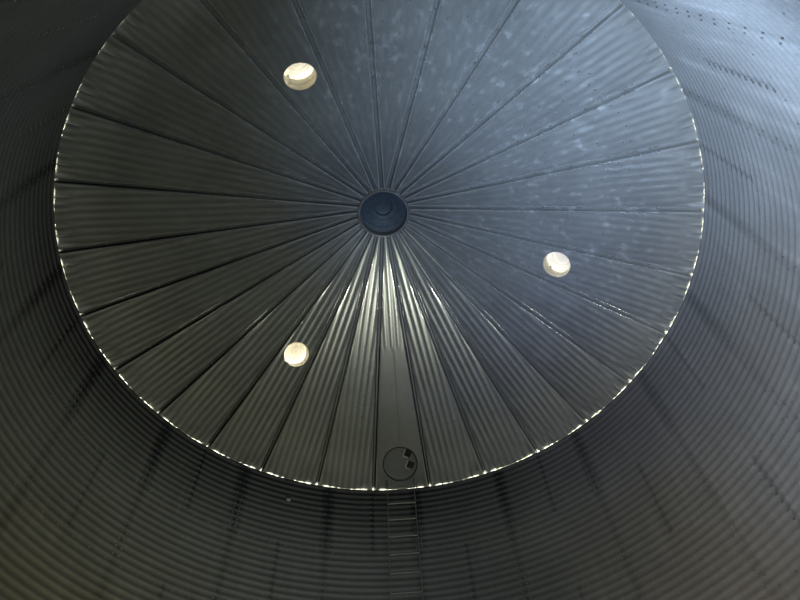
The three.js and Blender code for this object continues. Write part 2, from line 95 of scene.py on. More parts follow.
@dataclass(frozen=True)
class Bin:
    """The driving dimensions of the silo, in metres and degrees.

    The eave's height is read from the frame, and the rest are the sizes that such a bin is rolled to.
    """

    eave: float
    radius: float = 4.115
    wave: float = 0.1016
    wave_depth: float = 0.013
    sheet: float = 0.0014
    rings: int = 7
    waves_per_ring: int = 11
    first_seam: float = 1.18
    bays: int = 9
    bay_az: float = 77.0
    stiffener_offset: float = 10.0
    pitch: float = 30.0
    panels: int = 27
    flute: float = 0.1045
    hatch_az: float = 90.0
    overhang: float = 0.060
    gap: float = 0.0003

    @property
    def ring_cover(self) -> float:
        """Height that one ring of sheets covers."""
        return self.wave * self.waves_per_ring

    @property
    def wall_out(self) -> float:
        """Distance from the axis to the wall's outer crests."""
        return self.radius + self.wave_depth / 2

    @property
    def half_panel(self) -> float:
        """Half of the angle that one roof panel covers, in radians."""
        return math.pi / self.panels

    @property
    def stiffener_azimuths(self) -> list[float]:
        """Azimuths of the posts, in the order of their nodes."""
        first = self.bay_az + self.stiffener_offset
        return [first - i * 180 / self.bays for i in range(2 * self.bays)]

    def seam(self, ring: int) -> float:
        """Height of the sheet edge that shows indoors under a ring, counted from 1 at the eave."""
        return self.eave - self.first_seam - (ring - 1) * self.ring_cover

    def wall_radius(self, z: np.ndarray | float) -> np.ndarray | float:
        """Distance from the axis to the middle of the corrugated sheet at a height."""
        return self.radius + self.wave_depth / 2 * np.cos(2 * np.pi * (self.eave - z) / self.wave)

    def underside(self, out: np.ndarray | float) -> np.ndarray | float:
        """Height of a roof panel's underside at a distance out along the panel's middle."""
        pitch = math.radians(self.pitch)
        return self.eave + self.gap / math.cos(pitch) + (self.wall_out - out) * math.tan(pitch)

    def on_roof(self, azimuth: float, out: float) -> Matrix:
        """Returns the frame of a spot on a panel: X across, Y down the slope, Z out of the roof."""
        az, pitch = math.radians(azimuth), math.radians(self.pitch)
        up = Vector((math.sin(pitch) * math.cos(az), math.sin(pitch) * math.sin(az), math.cos(pitch)))
        across = Vector((math.sin(az), -math.cos(az), 0))
        spot = (out * math.cos(az), out * math.sin(az), self.underside(out))
        return frame_of(across, up.cross(across), up, spot)

    def on_rib(self, azimuth: float, radius: float) -> Matrix:
        """Returns the frame of a spot on a rib's line: X across, Y down the slope, Z out of the roof."""
        az = math.radians(azimuth)
        slope = math.atan(math.tan(math.radians(self.pitch)) * math.cos(self.half_panel))
        up = Vector((math.sin(slope) * math.cos(az), math.sin(slope) * math.sin(az), math.cos(slope)))
        across = Vector((math.sin(az), -math.cos(az), 0))
        height = self.underside(radius * math.cos(self.half_panel))
        return frame_of(across, up.cross(across), up, (radius * math.cos(az), radius * math.sin(az), height))


def frame_of(x: Vector, y: Vector, z: Vector, origin: Point) -> Matrix:
    """Returns the matrix whose axes and origin are the given ones."""
    matrix = Matrix((x, y, z)).transposed().to_4x4()
    matrix.translation = Vector(origin)
    return matrix


def facing(azimuth: float, out: float = 0.0, z: float = 0.0) -> Matrix:
    """Returns the frame of a spot on the wall: X across, Y away from the axis, Z up."""
    return Matrix.Rotation(math.radians(azimuth - 90), 4, "Z") @ Matrix.Translation((0, out, z))


def around(place: Matrix, count: int, spot: Point = (0, 0, 0), start: float = 0.0) -> list[Matrix]:
    """Lists the frames of a spot repeated evenly round a place's Z axis.

    Args:
        place: the frame whose axis they stand round.
        count: how many there are.
        spot: the spot, in the place's own frame.
        start: how far the first is turned, as a share of the step.

    Returns:
        The frames, in order.
    """
    turns = [Matrix.Rotation(2 * math.pi * (k + start) / count, 4, "Z") for k in range(count)]
    return [place @ turn @ Matrix.Translation(spot) for turn in turns]


def circle(centre: Vector, turn: Matrix, radius: float, sides: int, start: float = 0.0) -> list[Vector]:
    """Lists evenly spaced points of a circle in a turned XY plane, the first a share of a step round."""
    angles = [2 * math.pi * (k + start) / sides for k in range(sides)]
    return [centre + turn @ Vector((math.cos(a), math.sin(a), 0)) * radius for a in angles]


def pressed(radius: float, at: Sequence[float], rise: float, half: float) -> float:
    """Gives how far round beads pressed at some radii lift a sheet at a radius."""
    return sum(rise * math.exp(-(((radius - middle) / half) ** 2)) for middle in at)


def smooth(share: np.ndarray) -> np.ndarray:
    """Holds a share between 0 and 1 and eases it at both ends."""
    share = np.clip(share, 0, 1)
    return share * share * (3 - 2 * share)


def tube_faces(count: int, rings: int) -> list[list[int]]:
    """Lists the faces of a tube with a number of points to each ring, closed at its two ends."""
    last = (rings - 1) * count
    faces = [list(range(count))[::-1], list(range(last, last + count))]
    for row in range(rings - 1):
        for k in range(count):
            here, there = row * count + k, row * count + (k + 1) % count
            faces.append([here, there, there + count, here + count])
    return faces


class Body:
    """Points and faces of closed solids, gathered for one mesh."""

    def __init__(self) -> None:
        """Starts with nothing in it."""
        self.points: list[np.ndarray] = []
        self.faces: list[list[int]] = []
        self.count = 0

    def add(self, points: np.ndarray, faces: Iterable[Sequence[int]], place: Matrix | None = None) -> "Body":
        """Adds points and the faces between them.

        Args:
            points: one row for each point.
            faces: the corners of each face, as rows of the points.
            place: where the points go, or None to leave them.

        Returns:
            The body itself.
        """
        points = np.asarray(points, float).reshape(-1, 3)
        if place is not None:
            matrix = np.array(place)
            points = points @ matrix[:3, :3].T + matrix[:3, 3]
        if isinstance(faces, np.ndarray):
            self.faces.extend((faces + self.count).tolist())
        else:
            self.faces.extend([[corner + self.count for corner in face] for face in faces])
        self.points.append(points)
        self.count += len(points)
        return self

    def join(self, other: "Body", place: Matrix | None = None) -> "Body":
        """Adds all of another body, moved to a place."""
        return self.add(np.concatenate(other.points), other.faces, place)

    def copies(self, other: "Body", places: Sequence[Matrix]) -> "Body":
        """Adds a copy of another body at each place."""
        if not places:
            return self
        points = np.concatenate(other.points)
        matrices = np.array([np.array(place) for place in places])
        moved = np.einsum("mij,nj->mni", matrices[:, :3, :3], points) + matrices[:, None, :3, 3]
        for k, copy in enumerate(moved):
            shift = self.count + k * len(points)
            self.faces.extend([[corner + shift for corner in face] for face in other.faces])
            self.points.append(copy)
        self.count += len(points) * len(places)
        return self

    def plate(self, front: np.ndarray, back: np.ndarray, keep: np.ndarray | None = None) -> "Body":
        """Adds a closed plate between two grids of points.

        Args:
            front: rows by columns by 3 coordinates of one face.
            back: the other face, in the same layout.
            keep: which cells of the grid are there, or None for all.

        Returns:
            The body itself.
        """
        rows, columns = front.shape[:2]
        if keep is None:
            keep = np.ones((rows - 1, columns - 1), bool)
        index = np.arange(rows * columns).reshape(rows, columns)
        a, b, c, d = index[:-1, :-1], index[1:, :-1], index[1:, 1:], index[:-1, 1:]
        quads = np.stack([a, b, c, d], -1)[keep]
        back_side = rows * columns
        parts = [quads, quads[:, ::-1] + back_side]
        padded = np.pad(keep, 1)
        for down, right, start, end in ((-1, 0, d, a), (1, 0, b, c), (0, -1, a, b), (0, 1, c, d)):
            beside = padded[1 + down : rows + down, 1 + right : columns + right]
            rim = keep & ~beside
            first, second = start[rim], end[rim]
            parts.append(np.stack([second, first, first + back_side, second + back_side], -1))
        return self.add(np.concatenate([front.reshape(-1, 3), back.reshape(-1, 3)]), np.concatenate(parts))

    def turned(self, profile: Outline, segments: int, place: Matrix | None = None) -> "Body":
        """Adds a full turn about Z of a profile of [radius, height] points.

        Args:
            profile: a closed outline, or one that starts and ends on the axis.
            segments: sides of the full turn.
            place: where it goes.

        Returns:
            The body itself.
        """
        closed = profile[0][0] > 0
        angles = np.arange(segments) * 2 * np.pi / segments
        outline = np.array(profile, float)
        count = len(outline)
        points = np.empty((segments, count, 3))
        points[..., 0] = np.cos(angles)[:, None] * outline[:, 0]
        points[..., 1] = np.sin(angles)[:, None] * outline[:, 0]
        points[..., 2] = outline[:, 1]
        index = np.arange(segments * count).reshape(segments, count)
        ahead = np.roll(index, -1, 0)
        steps = count if closed else count - 1
        here, there = index[:, :steps], np.roll(index, -1, 1)[:, :steps]
        quads = np.stack([here, ahead[:, :steps], np.roll(ahead, -1, 1)[:, :steps], there], -1)
        return self.add(points, quads.reshape(-1, 4), place)

    def swept(self, profile: Outline, places: Sequence[Matrix]) -> "Body":
        """Adds a closed outline carried from place to place, with its two ends closed.

        Args:
            profile: the outline's [x, z] points in each place's own frame.
            places: the frames that it passes through, in order.

        Returns:
            The body itself.
        """
        section = np.array([[x, 0, z] for x, z in profile])
        points = np.concatenate([section @ np.array(m)[:3, :3].T + np.array(m)[:3, 3] for m in places])
        faces = tube_faces(len(profile), len(places))
        faces[:2] = [end[::-1] for end in faces[:2]]  # an outline in X and Z runs the other way round
        return self.add(points, faces)

    def prism(self, outline: Outline, depth: float, place: Matrix | None = None) -> "Body":
        """Adds an outline of [x, y] points pushed along +Z by a depth."""
        low = [[x, y, 0] for x, y in outline]
        high = [[x, y, depth] for x, y in outline]
        return self.add(np.array(low + high), tube_faces(len(outline), 2), place)

    def block(self, low: Point, high: Point, place: Matrix | None = None) -> "Body":
        """Adds a box between two corners."""
        outline = [(low[0], low[1]), (high[0], low[1]), (high[0], high[1]), (low[0], high[1])]
        lift = Matrix.Translation((0, 0, low[2]))
        return self.prism(outline, high[2] - low[2], place @ lift if place else lift)

    def rod(
        self, start: Point, end: Point, radius: float, sides: int = 8, tip: float | None = None
    ) -> "Body":
        """Adds a round bar between two points, with another radius at its end where tip gives one."""
        first, last = Vector(start), Vector(end)
        turn = (last - first).to_track_quat("Z", "Y").to_matrix()
        far = radius if tip is None else tip
        ends = circle(first, turn, radius, sides, 0.5) + circle(last, turn, far, sides, 0.5)
        return self.add(np.array(ends), tube_faces(sides, 2))

    def pipe(self, path: Sequence[Point], radius: float, sides: int = 8) -> "Body":
        """Adds a round bar that follows a bent path, closed at both ends."""
        spots = [Vector(point) for point in path]
        rings = []
        for i, spot in enumerate(spots):
            along = spots[min(i + 1, len(spots) - 1)] - spots[max(i - 1, 0)]
            rings += circle(spot, along.to_track_quat("Z", "Y").to_matrix(), radius, sides)
        return self.add(np.array(rings), tube_faces(sides, len(spots)))

    def mesh(self, name: str, crease: float = 35.0) -> bpy.types.Mesh:
        """Makes the mesh, with its doubled points merged and its faces pointing out.

        Args:
            name: the mesh's name.
            crease: edges bent by more than this many degrees stay sharp.

        Returns:
            The finished mesh.
        """
        mesh = bpy.data.meshes.new(name)
        mesh.from_pydata(np.concatenate(self.points), [], self.faces)
        work = bmesh.new()
        work.from_mesh(mesh)
        bmesh.ops.remove_doubles(work, verts=work.verts, dist=MERGE_REACH)
        bmesh.ops.dissolve_degenerate(work, edges=work.edges, dist=SLIVER)
        loose = [vert for vert in work.verts if not vert.link_faces]
        bmesh.ops.delete(work, geom=loose, context="VERTS")
        bmesh.ops.recalc_face_normals(work, faces=work.faces)
        work.to_mesh(mesh)
        work.free()
        mesh.shade_smooth()
        mesh.set_sharp_from_angle(angle=math.radians(crease))
        return mesh


def cut(body: Body, holes: Sequence[Body]) -> Body:
    """Cuts holes out of a body.

    Args:
        body: the solid to cut.
        holes: the solids to take out of it.

    Returns:
        What is left, as a new body.
    """
    whole = bpy.data.objects.new("cut_whole", body.mesh("cut_whole"))
    bpy.context.collection.objects.link(whole)
    tools = []
    for hole in holes:
        tool = bpy.data.objects.new("cut_tool", hole.mesh("cut_tool"))
        bpy.context.collection.objects.link(tool)
        modifier = whole.modifiers.new("hole", "BOOLEAN")
        modifier.operation = "DIFFERENCE"
        modifier.solver = "EXACT"
        modifier.object = tool
        tools.append(tool)
    result = bpy.data.meshes.new_from_object(whole.evaluated_get(bpy.context.evaluated_depsgraph_get()))
    left = Body()
    points = np.empty(len(result.vertices) * 3)
    result.vertices.foreach_get("co", points)
    left.add(points.reshape(-1, 3), [list(polygon.vertices) for polygon in result.polygons])
    for thing in (whole, *tools):
        old = thing.data
        bpy.data.objects.remove(thing)
        bpy.data.meshes.remove(old)
    bpy.data.meshes.remove(result)
    return left


def operator(operation: str, flipped: bool = False) -> Callable[["Value", "Number"], "Value"]:
    """Makes the method behind an operator.

    Args:
        operation: the Math node's operation.
        flipped: whether the other term comes first.

    Returns:
        The method, which adds the node.
    """

    def apply(value: "Value", other: "Number") -> "Value":
        """Adds the Math node of the two terms."""
        terms = (other, value) if flipped else (value, other)
        return value.shader.math(operation, *terms)

    return apply


class Value:
    """A number that flows from one node of a material to the next.

    A comparison gives 1 where it holds and 0 elsewhere, and % gives what is left after whole steps.
    """

    def __init__(self, shader: "Shader", socket: bpy.types.NodeSocket) -> None:
        """Holds the socket that gives the number, and the shader that it belongs to."""
        self.shader = shader
        self.socket = socket

    __add__ = __radd__ = operator("ADD")
    __sub__ = operator("SUBTRACT")
    __rsub__ = operator("SUBTRACT", flipped=True)
    __mul__ = __rmul__ = operator("MULTIPLY")
    __truediv__ = operator("DIVIDE")
    __mod__ = operator("FLOORED_MODULO")
    __gt__ = operator("GREATER_THAN")

    def __abs__(self) -> "Value":
        """Drops the sign."""
        return self.shader.math("ABSOLUTE", self)

    def floor(self) -> "Value":
        """Rounds down."""
        return self.shader.math("FLOOR", self)

    def wrapped(self, reach: float) -> "Value":
        """Brings the number into the range from -reach to reach by whole turns."""
        return self.shader.math("WRAP", self, reach, -reach)

    def rise(self, low: "Number", high: "Number") -> "Value":
        """Gives a smooth step from 0 at low to 1 at high."""
        values = {"Value": self, "From Min": low, "From Max": high}
        node = self.shader.node("ShaderNodeMapRange", {"interpolation_type": "SMOOTHSTEP"}, values)
        return Value(self.shader, node.outputs["Result"])


Number = Value | float


class Shader:
    """The node tree of one material, written as expressions."""

    def __init__(self, name: str) -> None:
        """Starts an empty material."""
        self.material = bpy.data.materials.new(name)
        self.material.use_nodes = True
        self.tree = self.material.node_tree
        self.tree.nodes.clear()

    def node(
        self,
        kind: str,
        settings: Mapping[str, object] | None = None,
        values: Mapping[object, object] | None = None,
    ) -> bpy.types.Node:
        """Makes a node.

        Args:
            kind: the node's type.
            settings: its own properties, set before its sockets.
            values: what each socket holds or is linked to, by the socket's name or place.

        Returns:
            The new node.
        """
        node = self.tree.nodes.new(kind)
        for key, setting in (settings or {}).items():
            setattr(node, key, setting)
        for key, value in (values or {}).items():
            if isinstance(value, Value):
                value = value.socket
            if isinstance(value, bpy.types.NodeSocket):
                self.tree.links.new(value, node.inputs[key])
            else:
                node.inputs[key].default_value = value
        return node

    def math(self, operation: str, *terms: Number) -> Value:
        """Makes a Math node of an operation on its terms."""
        node = self.node("ShaderNodeMath", {"operation": operation}, dict(enumerate(terms)))
        return Value(self, node.outputs[0])

    def blend(self, factor: Number, low: object, high: object) -> bpy.types.NodeSocket:
        """Mixes two colours, each a colour or a socket, by a factor."""
        values = {0: factor, 6: opaque(low), 7: opaque(high)}
        node = self.node("ShaderNodeMix", {"data_type": "RGBA", "clamp_factor": True}, values)
        return node.outputs[2]

    def shade(self, colour: object, factor: Number) -> bpy.types.NodeSocket:
        """Multiplies a colour by a number."""
        scale = self.node("ShaderNodeCombineColor", None, {0: factor, 1: factor, 2: factor}).outputs[0]
        settings = {"data_type": "RGBA", "blend_type": "MULTIPLY"}
        return self.node("ShaderNodeMix", settings, {0: 1.0, 6: opaque(colour), 7: scale}).outputs[2]

    def place(self) -> bpy.types.NodeSocket:
        """Gives the point's place on the object."""
        return self.node("ShaderNodeTexCoord").outputs["Object"]

    def axes(self, vector: bpy.types.NodeSocket) -> tuple[Value, Value, Value]:
        """Splits a vector into its three numbers."""
        node = self.node("ShaderNodeSeparateXYZ", None, {0: vector})
        x, y, z = (Value(self, output) for output in node.outputs)
        return x, y, z

    def stretched(self, vector: bpy.types.NodeSocket, scale: Point) -> bpy.types.NodeSocket:
        """Scales a vector by three numbers."""
        return self.node("ShaderNodeVectorMath", {"operation": "MULTIPLY"}, {0: vector, 1: scale}).outputs[0]

    def noise(self, vector: bpy.types.NodeSocket, scale: float, detail: float = 3.0) -> Value:
        """Gives fractal noise round 0.5, whose detail is how many finer layers it has."""
        values = {"Vector": vector, "Scale": scale, "Detail": detail, "Roughness": 0.55}
        return Value(self, self.node("ShaderNodeTexNoise", None, values).outputs[0])

    def crystals(self, vector: bpy.types.NodeSocket, scale: float) -> Value:
        """Gives each cell of a crystal pattern its own number from 0 to 1."""
        cells = self.node("ShaderNodeTexVoronoi", None, {"Vector": vector, "Scale": scale})
        return Value(self, self.node("ShaderNodeSeparateColor", None, {0: cells.outputs["Color"]}).outputs[0])

    def finish(self, **values: object) -> bpy.types.Material:
        """Ends the material in a Principled shader.

        Args:
            **values: the shader's sockets, with spaces written as underscores.

        Returns:
            The finished material.
        """
        named = {key.replace("_", " "): value for key, value in values.items()}
        surface = self.node("ShaderNodeBsdfPrincipled", None, named)
        self.node("ShaderNodeOutputMaterial", None, {"Surface": surface.outputs[0]})
        return self.material


def opaque(colour: object) -> object:
    """Gives a colour its fourth number, and leaves a socket as it is."""
    return (*colour, 1.0) if isinstance(colour, tuple) else colour


COS_45 = 0.707
# Range across the bin, towards -X and +Y, over which the indoor marks grow darker: painted shade on that
# side.
TO_THE_LEFT = (-0.6, 0.8)
WEATHERED = (0.62, 0.63, 0.61)
# Light colour laid on the rolled rib edges to the east: a painted highlight.
PAINTED_GLINT = (0.60, 0.61, 0.56)


@dataclass(frozen=True)
class RoofShadeAndGlint:
    """Where the roof's painted shade and painted glints lie, as ranges in metres, and how dark the shade is,
    where 1 is black.
    """

    plain_half: float = 6.6
    plain_from: Range = (2.0, 2.08)
    plain: float = 0.34
    flutes_from: Range = (0.040, 0.055)
    flute: float = 0.09
    flute_left: float = 0.26
    corner_from: Range = (0.010, 0.022)
    corner_to: Range = (0.027, 0.033)
    corner: float = 0.18
    corner_left: float = 0.20
    hollow_to: Range = (0.026, 0.042)
    hollow_left: float = 0.38
    hollow_west: float = 0.24
    to_the_west: Range = (0.3, 3.2)
    west: float = 0.16
    peak_to: Range = (0.4, 2.4)
    near_side: Range = (0.0, 0.8)
    peak: float = 0.45
    rolled_from: Range = (0.029, 0.033)
    rolled_to: Range = (0.044, 0.050)
    eave_from: Range = (3.5, 4.0)
    painted_glint_to: Range = (0.6, 2.6)


@dataclass(frozen=True)
class WallDirtAndShade:
    """Where the wall's indoor marks lie, in metres, and how dark they are, where 1 is black: caulk, post
    bands and painted shade.
    """

    below_seam: float = 0.30
    above_seam: float = 0.25
    ragged: Point = (3.0, 3.0, 1.2)
    band_core: float = 0.015
    band_reach: float = 0.09
    band_top_reach: float = 0.05
    band: float = 0.16
    band_top: float = 0.14
    caulk_core: float = 0.004
    caulk_reach: float = 0.05
    caulk: float = 0.24
    valley: float = 0.20
    valley_left: float = 0.30
    eave_from: float = 1.5
    eave_to: float = 0.1
    eave: float = 0.50


ROOF_SHADE_AND_GLINT = RoofShadeAndGlint()
WALL_DIRT_AND_SHADE = WallDirtAndShade()


@dataclass(frozen=True)
class Zinc:
    """Galvanised sheet: zinc crystals outdoors, and dust over them indoors; on the cap the indoor colour is
    painted shade.
    """

    name: str
    metal: Colour
    # The indoor colour: dust, except on the cap, where it is painted shade.
    dust: Colour
    sides: Facing = Facing.NONE
    marks: Marks = Marks.NONE
    rough: float = 0.40
    dusty_rough: float = 0.46
    shine: float = 0.85
    dusty_shine: float = 0.75
    crystal: float = 0.014
    contrast: float = 0.30
    cloud_scale: float = 1.3
    fine_scale: float = 22.0
    streak_scale: float = 2.2
    streak_shape: Point = (5.0, 5.0, 0.45)

    def indoors(self, shader: Shader, place: bpy.types.NodeSocket) -> Number:
        """Gives 1 on faces that look into the bin and 0 on the others."""
        normal = shader.node("ShaderNodeNewGeometry").outputs["Normal"]
        if self.sides is Facing.ROUND:
            x, y, _ = shader.axes(place)
            across, along, _ = shader.axes(normal)
            return 1 - ((x * across + y * along) > 0)
        if self.sides is Facing.UP:
            return 1 - (shader.axes(normal)[2] > 0)
        return 0.5

    def on_panel(self, shader: Shader, x: Value, y: Value, silo: Bin) -> tuple[Value, Value, Value]:
        """Gives a point's azimuth and its distances from the axis and from the nearest rib's line."""
        azimuth = shader.math("ARCTAN2", y, x) * PER_RADIAN
        out = shader.math("SQRT", x * x + y * y)
        half = 180 / silo.panels
        ribs = abs((azimuth - silo.hatch_az - half).wrapped(half)) * (1 / PER_RADIAN)
        return azimuth, out, ribs * out

    def roof_painted_shade(self, shader: Shader, place: bpy.types.NodeSocket, silo: Bin) -> Value:
        """Gives the roof's indoor darkening: painted shade at the ribs, in the flutes and to one side; darker
        by the peak.
        """
        dirt_and_shade = ROOF_SHADE_AND_GLINT
        x, y, _ = shader.axes(place)
        left = ((y - x) * (COS_45 / silo.radius)).rise(*TO_THE_LEFT)
        azimuth, out, away = self.on_panel(shader, x, y, silo)
        across = (azimuth - silo.hatch_az).wrapped(180 / silo.panels) * (1 / PER_RADIAN) * out
        plain = (1 - (abs(azimuth - silo.hatch_az) > dirt_and_shade.plain_half)) * out.rise(*dirt_and_shade.plain_from)
        # painted shade along the flutes, stronger to the left
        flute = 0.5 - shader.math("COSINE", across * (2 * math.pi / silo.flute)) * 0.5
        flute = flute * away.rise(*dirt_and_shade.flutes_from) * (1 - plain) * (left * dirt_and_shade.flute_left + dirt_and_shade.flute)
        # painted shade in the two corners of each rib's hollow
        corner = away.rise(*dirt_and_shade.corner_from) - away.rise(*dirt_and_shade.corner_to)
        # painted shade to the west, on the -X side
        west = (0 - x).rise(*dirt_and_shade.to_the_west)
        # darker round the peak on the near side, and on the hatch panel's plain part
        peak = (1 - out.rise(*dirt_and_shade.peak_to)) * (1 - y.rise(*dirt_and_shade.near_side)) * dirt_and_shade.peak
        peak = peak + plain * dirt_and_shade.plain + west * dirt_and_shade.west
        # painted shade across each rib's hollow, to the left and west
        hollow = (1 - away.rise(*dirt_and_shade.hollow_to)) * (left * dirt_and_shade.hollow_left + west * dirt_and_shade.hollow_west)
        return corner * (left * dirt_and_shade.corner_left + dirt_and_shade.corner) + hollow + flute + peak

    def wall_dirt_and_shade(self, shader: Shader, place: bpy.types.NodeSocket, silo: Bin) -> Value:
        """Gives how dark the wall is indoors: bands at the posts, caulk at the laps, painted shade in the
        valleys and at the eave.
        """
        dirt_and_shade = WALL_DIRT_AND_SHADE
        x, y, z = shader.axes(place)
        azimuth = shader.math("ARCTAN2", y, x) * PER_RADIAN
        left = ((y - x) * (COS_45 / silo.radius)).rise(*TO_THE_LEFT)
        arc = silo.radius / PER_RADIAN
        posts = abs((azimuth - silo.stiffener_azimuths[0]).wrapped(90 / silo.bays)) * arc
        top_ring = z.rise(silo.seam(1) - dirt_and_shade.below_seam, silo.seam(1) + dirt_and_shade.above_seam)
        ragged = shader.noise(shader.stretched(place, dirt_and_shade.ragged), 2.0) * 0.5 + 0.75
        # darker bands along the post lines, widest in the top ring
        band = 1 - posts.rise(dirt_and_shade.band_core, (top_ring * dirt_and_shade.band_top_reach + dirt_and_shade.band_reach) * ragged)
        ring = ((silo.seam(0) - z) / silo.ring_cover).floor()
        turn = (ring % 2) * (180 / silo.bays)
        laps = abs((azimuth - (silo.bay_az + 180 / silo.bays) - turn).wrapped(180 / silo.bays)) * arc
        caulk = 1 - laps.rise(dirt_and_shade.caulk_core, dirt_and_shade.caulk_reach * ragged)
        # painted shade in the corrugation valleys, stronger to the left
        valley = shader.math("COSINE", (silo.eave - z) * (2 * math.pi / silo.wave)) * 0.5 + 0.5
        lines = shader.math("MAXIMUM", band * (top_ring * dirt_and_shade.band_top + dirt_and_shade.band), caulk * dirt_and_shade.caulk)
        # painted shade near the eave, on the left
        top = z.rise(silo.eave - dirt_and_shade.eave_from, silo.eave - dirt_and_shade.eave_to) * left * dirt_and_shade.eave
        return lines + valley * (left * dirt_and_shade.valley_left + dirt_and_shade.valley) + top

    def material(self, silo: Bin) -> bpy.types.Material:
        """Makes the material."""
        shader = Shader(self.name)
        place = shader.place()
        inside = self.indoors(shader, place)
        crystal = shader.crystals(place, 1 / self.crystal)
        cloud = shader.noise(place, self.cloud_scale, 2.0)
        fine = shader.noise(place, self.fine_scale, 1.0)
        streak = shader.noise(shader.stretched(place, self.streak_shape), self.streak_scale, 2.0)
        patchy = 1 - self.contrast / 2 + crystal * self.contrast * 0.6 + cloud * self.contrast * 0.4
        metal = shader.shade(self.metal, patchy)
        worn = shader.blend(streak.rise(0.50, 0.78) * 0.30, metal, WEATHERED)
        # Indoor colour, dust with its blotches; on the cap it is painted shade.
        dirt_and_shade = shader.shade(self.dust, 0.60 + cloud * 0.5 + streak * 0.2 + fine * 0.1)
        colour = shader.blend(inside, worn, shader.blend(0.85 - crystal * 0.1, metal, dirt_and_shade))
        lines: Number = 0.0
        # Indoors the marks darken the colour: painted shade for the most part, with caulk lines and post
        # bands on the wall.
        if self.marks is not Marks.NONE:
            darkness = self.roof_painted_shade if self.marks is Marks.ROOF else self.wall_dirt_and_shade
            lines = darkness(shader, place, silo) * inside
            colour = shader.shade(colour, 1 - lines)
        grain = (fine - 0.5) * (0.16 - inside * 0.12)
        rough = self.rough + inside * (self.dusty_rough - self.rough) + grain + lines * 0.15
        if self.marks is Marks.ROOF:
            x, y, _ = shader.axes(place)
            _, out, away = self.on_panel(shader, x, y, silo)
            rolled = away.rise(*ROOF_SHADE_AND_GLINT.rolled_from) - away.rise(*ROOF_SHADE_AND_GLINT.rolled_to)
            rough = rough + (out.rise(*ROOF_SHADE_AND_GLINT.eave_from) * 0.25 - rolled * 0.13) * inside
            # The rolled rib edges on the east side are lightened: a painted highlight along them.
            glint_side = 1 - (0 - x).rise(*ROOF_SHADE_AND_GLINT.painted_glint_to)
            colour = shader.blend(rolled * glint_side * inside * 0.7, colour, PAINTED_GLINT)
        wear = streak.rise(0.5, 0.8) * 0.2 + lines * 0.3
        shine = self.shine + inside * (self.dusty_shine - self.shine) - wear
        height = fine * (1 - inside)
        bump = shader.node("ShaderNodeBump", None, {"Strength": 0.35, "Distance": 0.0012, "Height": height})
        return shader.finish(Base_Color=colour, Roughness=rough, Metallic=shine, Normal=bump.outputs[0])


@dataclass(frozen=True)
class Coat:
    """Paint, plastic or rubber with a fine grain and a little dust in its hollows."""

    name: str
    colour: Colour
    rough: float = 0.55
    grain: float = 90.0

    def material(self, silo: Bin) -> bpy.types.Material:
        """Makes the material."""
        shader = Shader(self.name)
        place = shader.place()
        cloud = shader.noise(place, 6.0, 4.0)
        fine = shader.noise(place, self.grain, 2.0)
        colour = shader.blend(cloud.rise(0.45, 0.8) * 0.3, self.colour, (0.20, 0.19, 0.17))
        bump = shader.node("ShaderNodeBump", None, {"Strength": 0.3, "Distance": 0.0005, "Height": fine})
        return shader.finish(Base_Color=colour, Roughness=self.rough + cloud * 0.15, Normal=bump.outputs[0])


@dataclass(frozen=True)
class Plaster:
    """The plain pale surface of the studio floor."""

    name: str
    colour: Colour

    def material(self, silo: Bin) -> bpy.types.Material:
        """Makes the material."""
        shader = Shader(self.name)
        cloud = shader.noise(shader.place(), 0.6, 4.0)
        return shader.finish(Base_Color=shader.shade(self.colour, 0.97 + cloud * 0.06), Roughness=0.8)


Finish = Zinc | Coat | Plaster


class Workshop:
    """Turns bodies into dressed pieces that ride on the frame."""

    def __init__(self, silo: Bin) -> None:
        """Starts with no material made."""
        self.silo = silo
        self.materials: dict[str, bpy.types.Material] = {}

    def dress(self, finish: Finish) -> bpy.types.Material:
        """Returns the material of a finish, made once."""
        if finish.name not in self.materials:
            self.materials[finish.name] = finish.material(self.silo)
        return self.materials[finish.name]

    def piece(
        self,
        name: str,
        body: Body,
        finish: Finish,
        slot: str,
        replaces: Sequence[str] = (),
        rides: BodyName = BodyName.SHELL,
        crease: float = 35.0,
    ) -> bpy.types.Object:
        """Makes a piece of the silo.

        Args:
            name: the piece's name.
            body: its shape.
            finish: its surface.
            slot: the record's material slot that it belongs to; not used.
            replaces: the nodes that it stands for.
            rides: the body that it moves with.
            crease: edges bent by more than this many degrees stay sharp.

        Returns:
            The new object.
        """
        piece = bpy.data.objects.new(name, body.mesh(name, crease))
        piece.data.materials.append(self.dress(finish))
        bpy.context.collection.objects.link(piece)
        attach(piece, rides.value)
        if replaces:
            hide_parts(*replaces)
        LOG.info("%s: %d faces", name, len(piece.data.polygons))
        return piece


WALL = Zinc("wall_zinc", (0.46, 0.47, 0.47), (0.190, 0.197, 0.158), Facing.ROUND, Marks.WALL, dusty_shine=0.4)
ROOF = Zinc("roof_zinc", (0.48, 0.49, 0.49), (0.40, 0.42, 0.35), Facing.UP, Marks.ROOF, dusty_rough=0.28)
FRAMING = Zinc("framing_zinc", (0.42, 0.43, 0.42), (0.22, 0.22, 0.19), crystal=0.009)
FASTENER = Zinc("fastener_zinc", (0.40, 0.40, 0.38), (0.15, 0.15, 0.13), crystal=0.004, contrast=0.2)
LADDER = Zinc("ladder_zinc", (0.34, 0.34, 0.32), (0.10, 0.10, 0.085), crystal=0.007)
VENT = Zinc("vent_zinc", (0.55, 0.54, 0.49), (0.62, 0.57, 0.44), Facing.UP, crystal=0.010, dusty_shine=0.25)
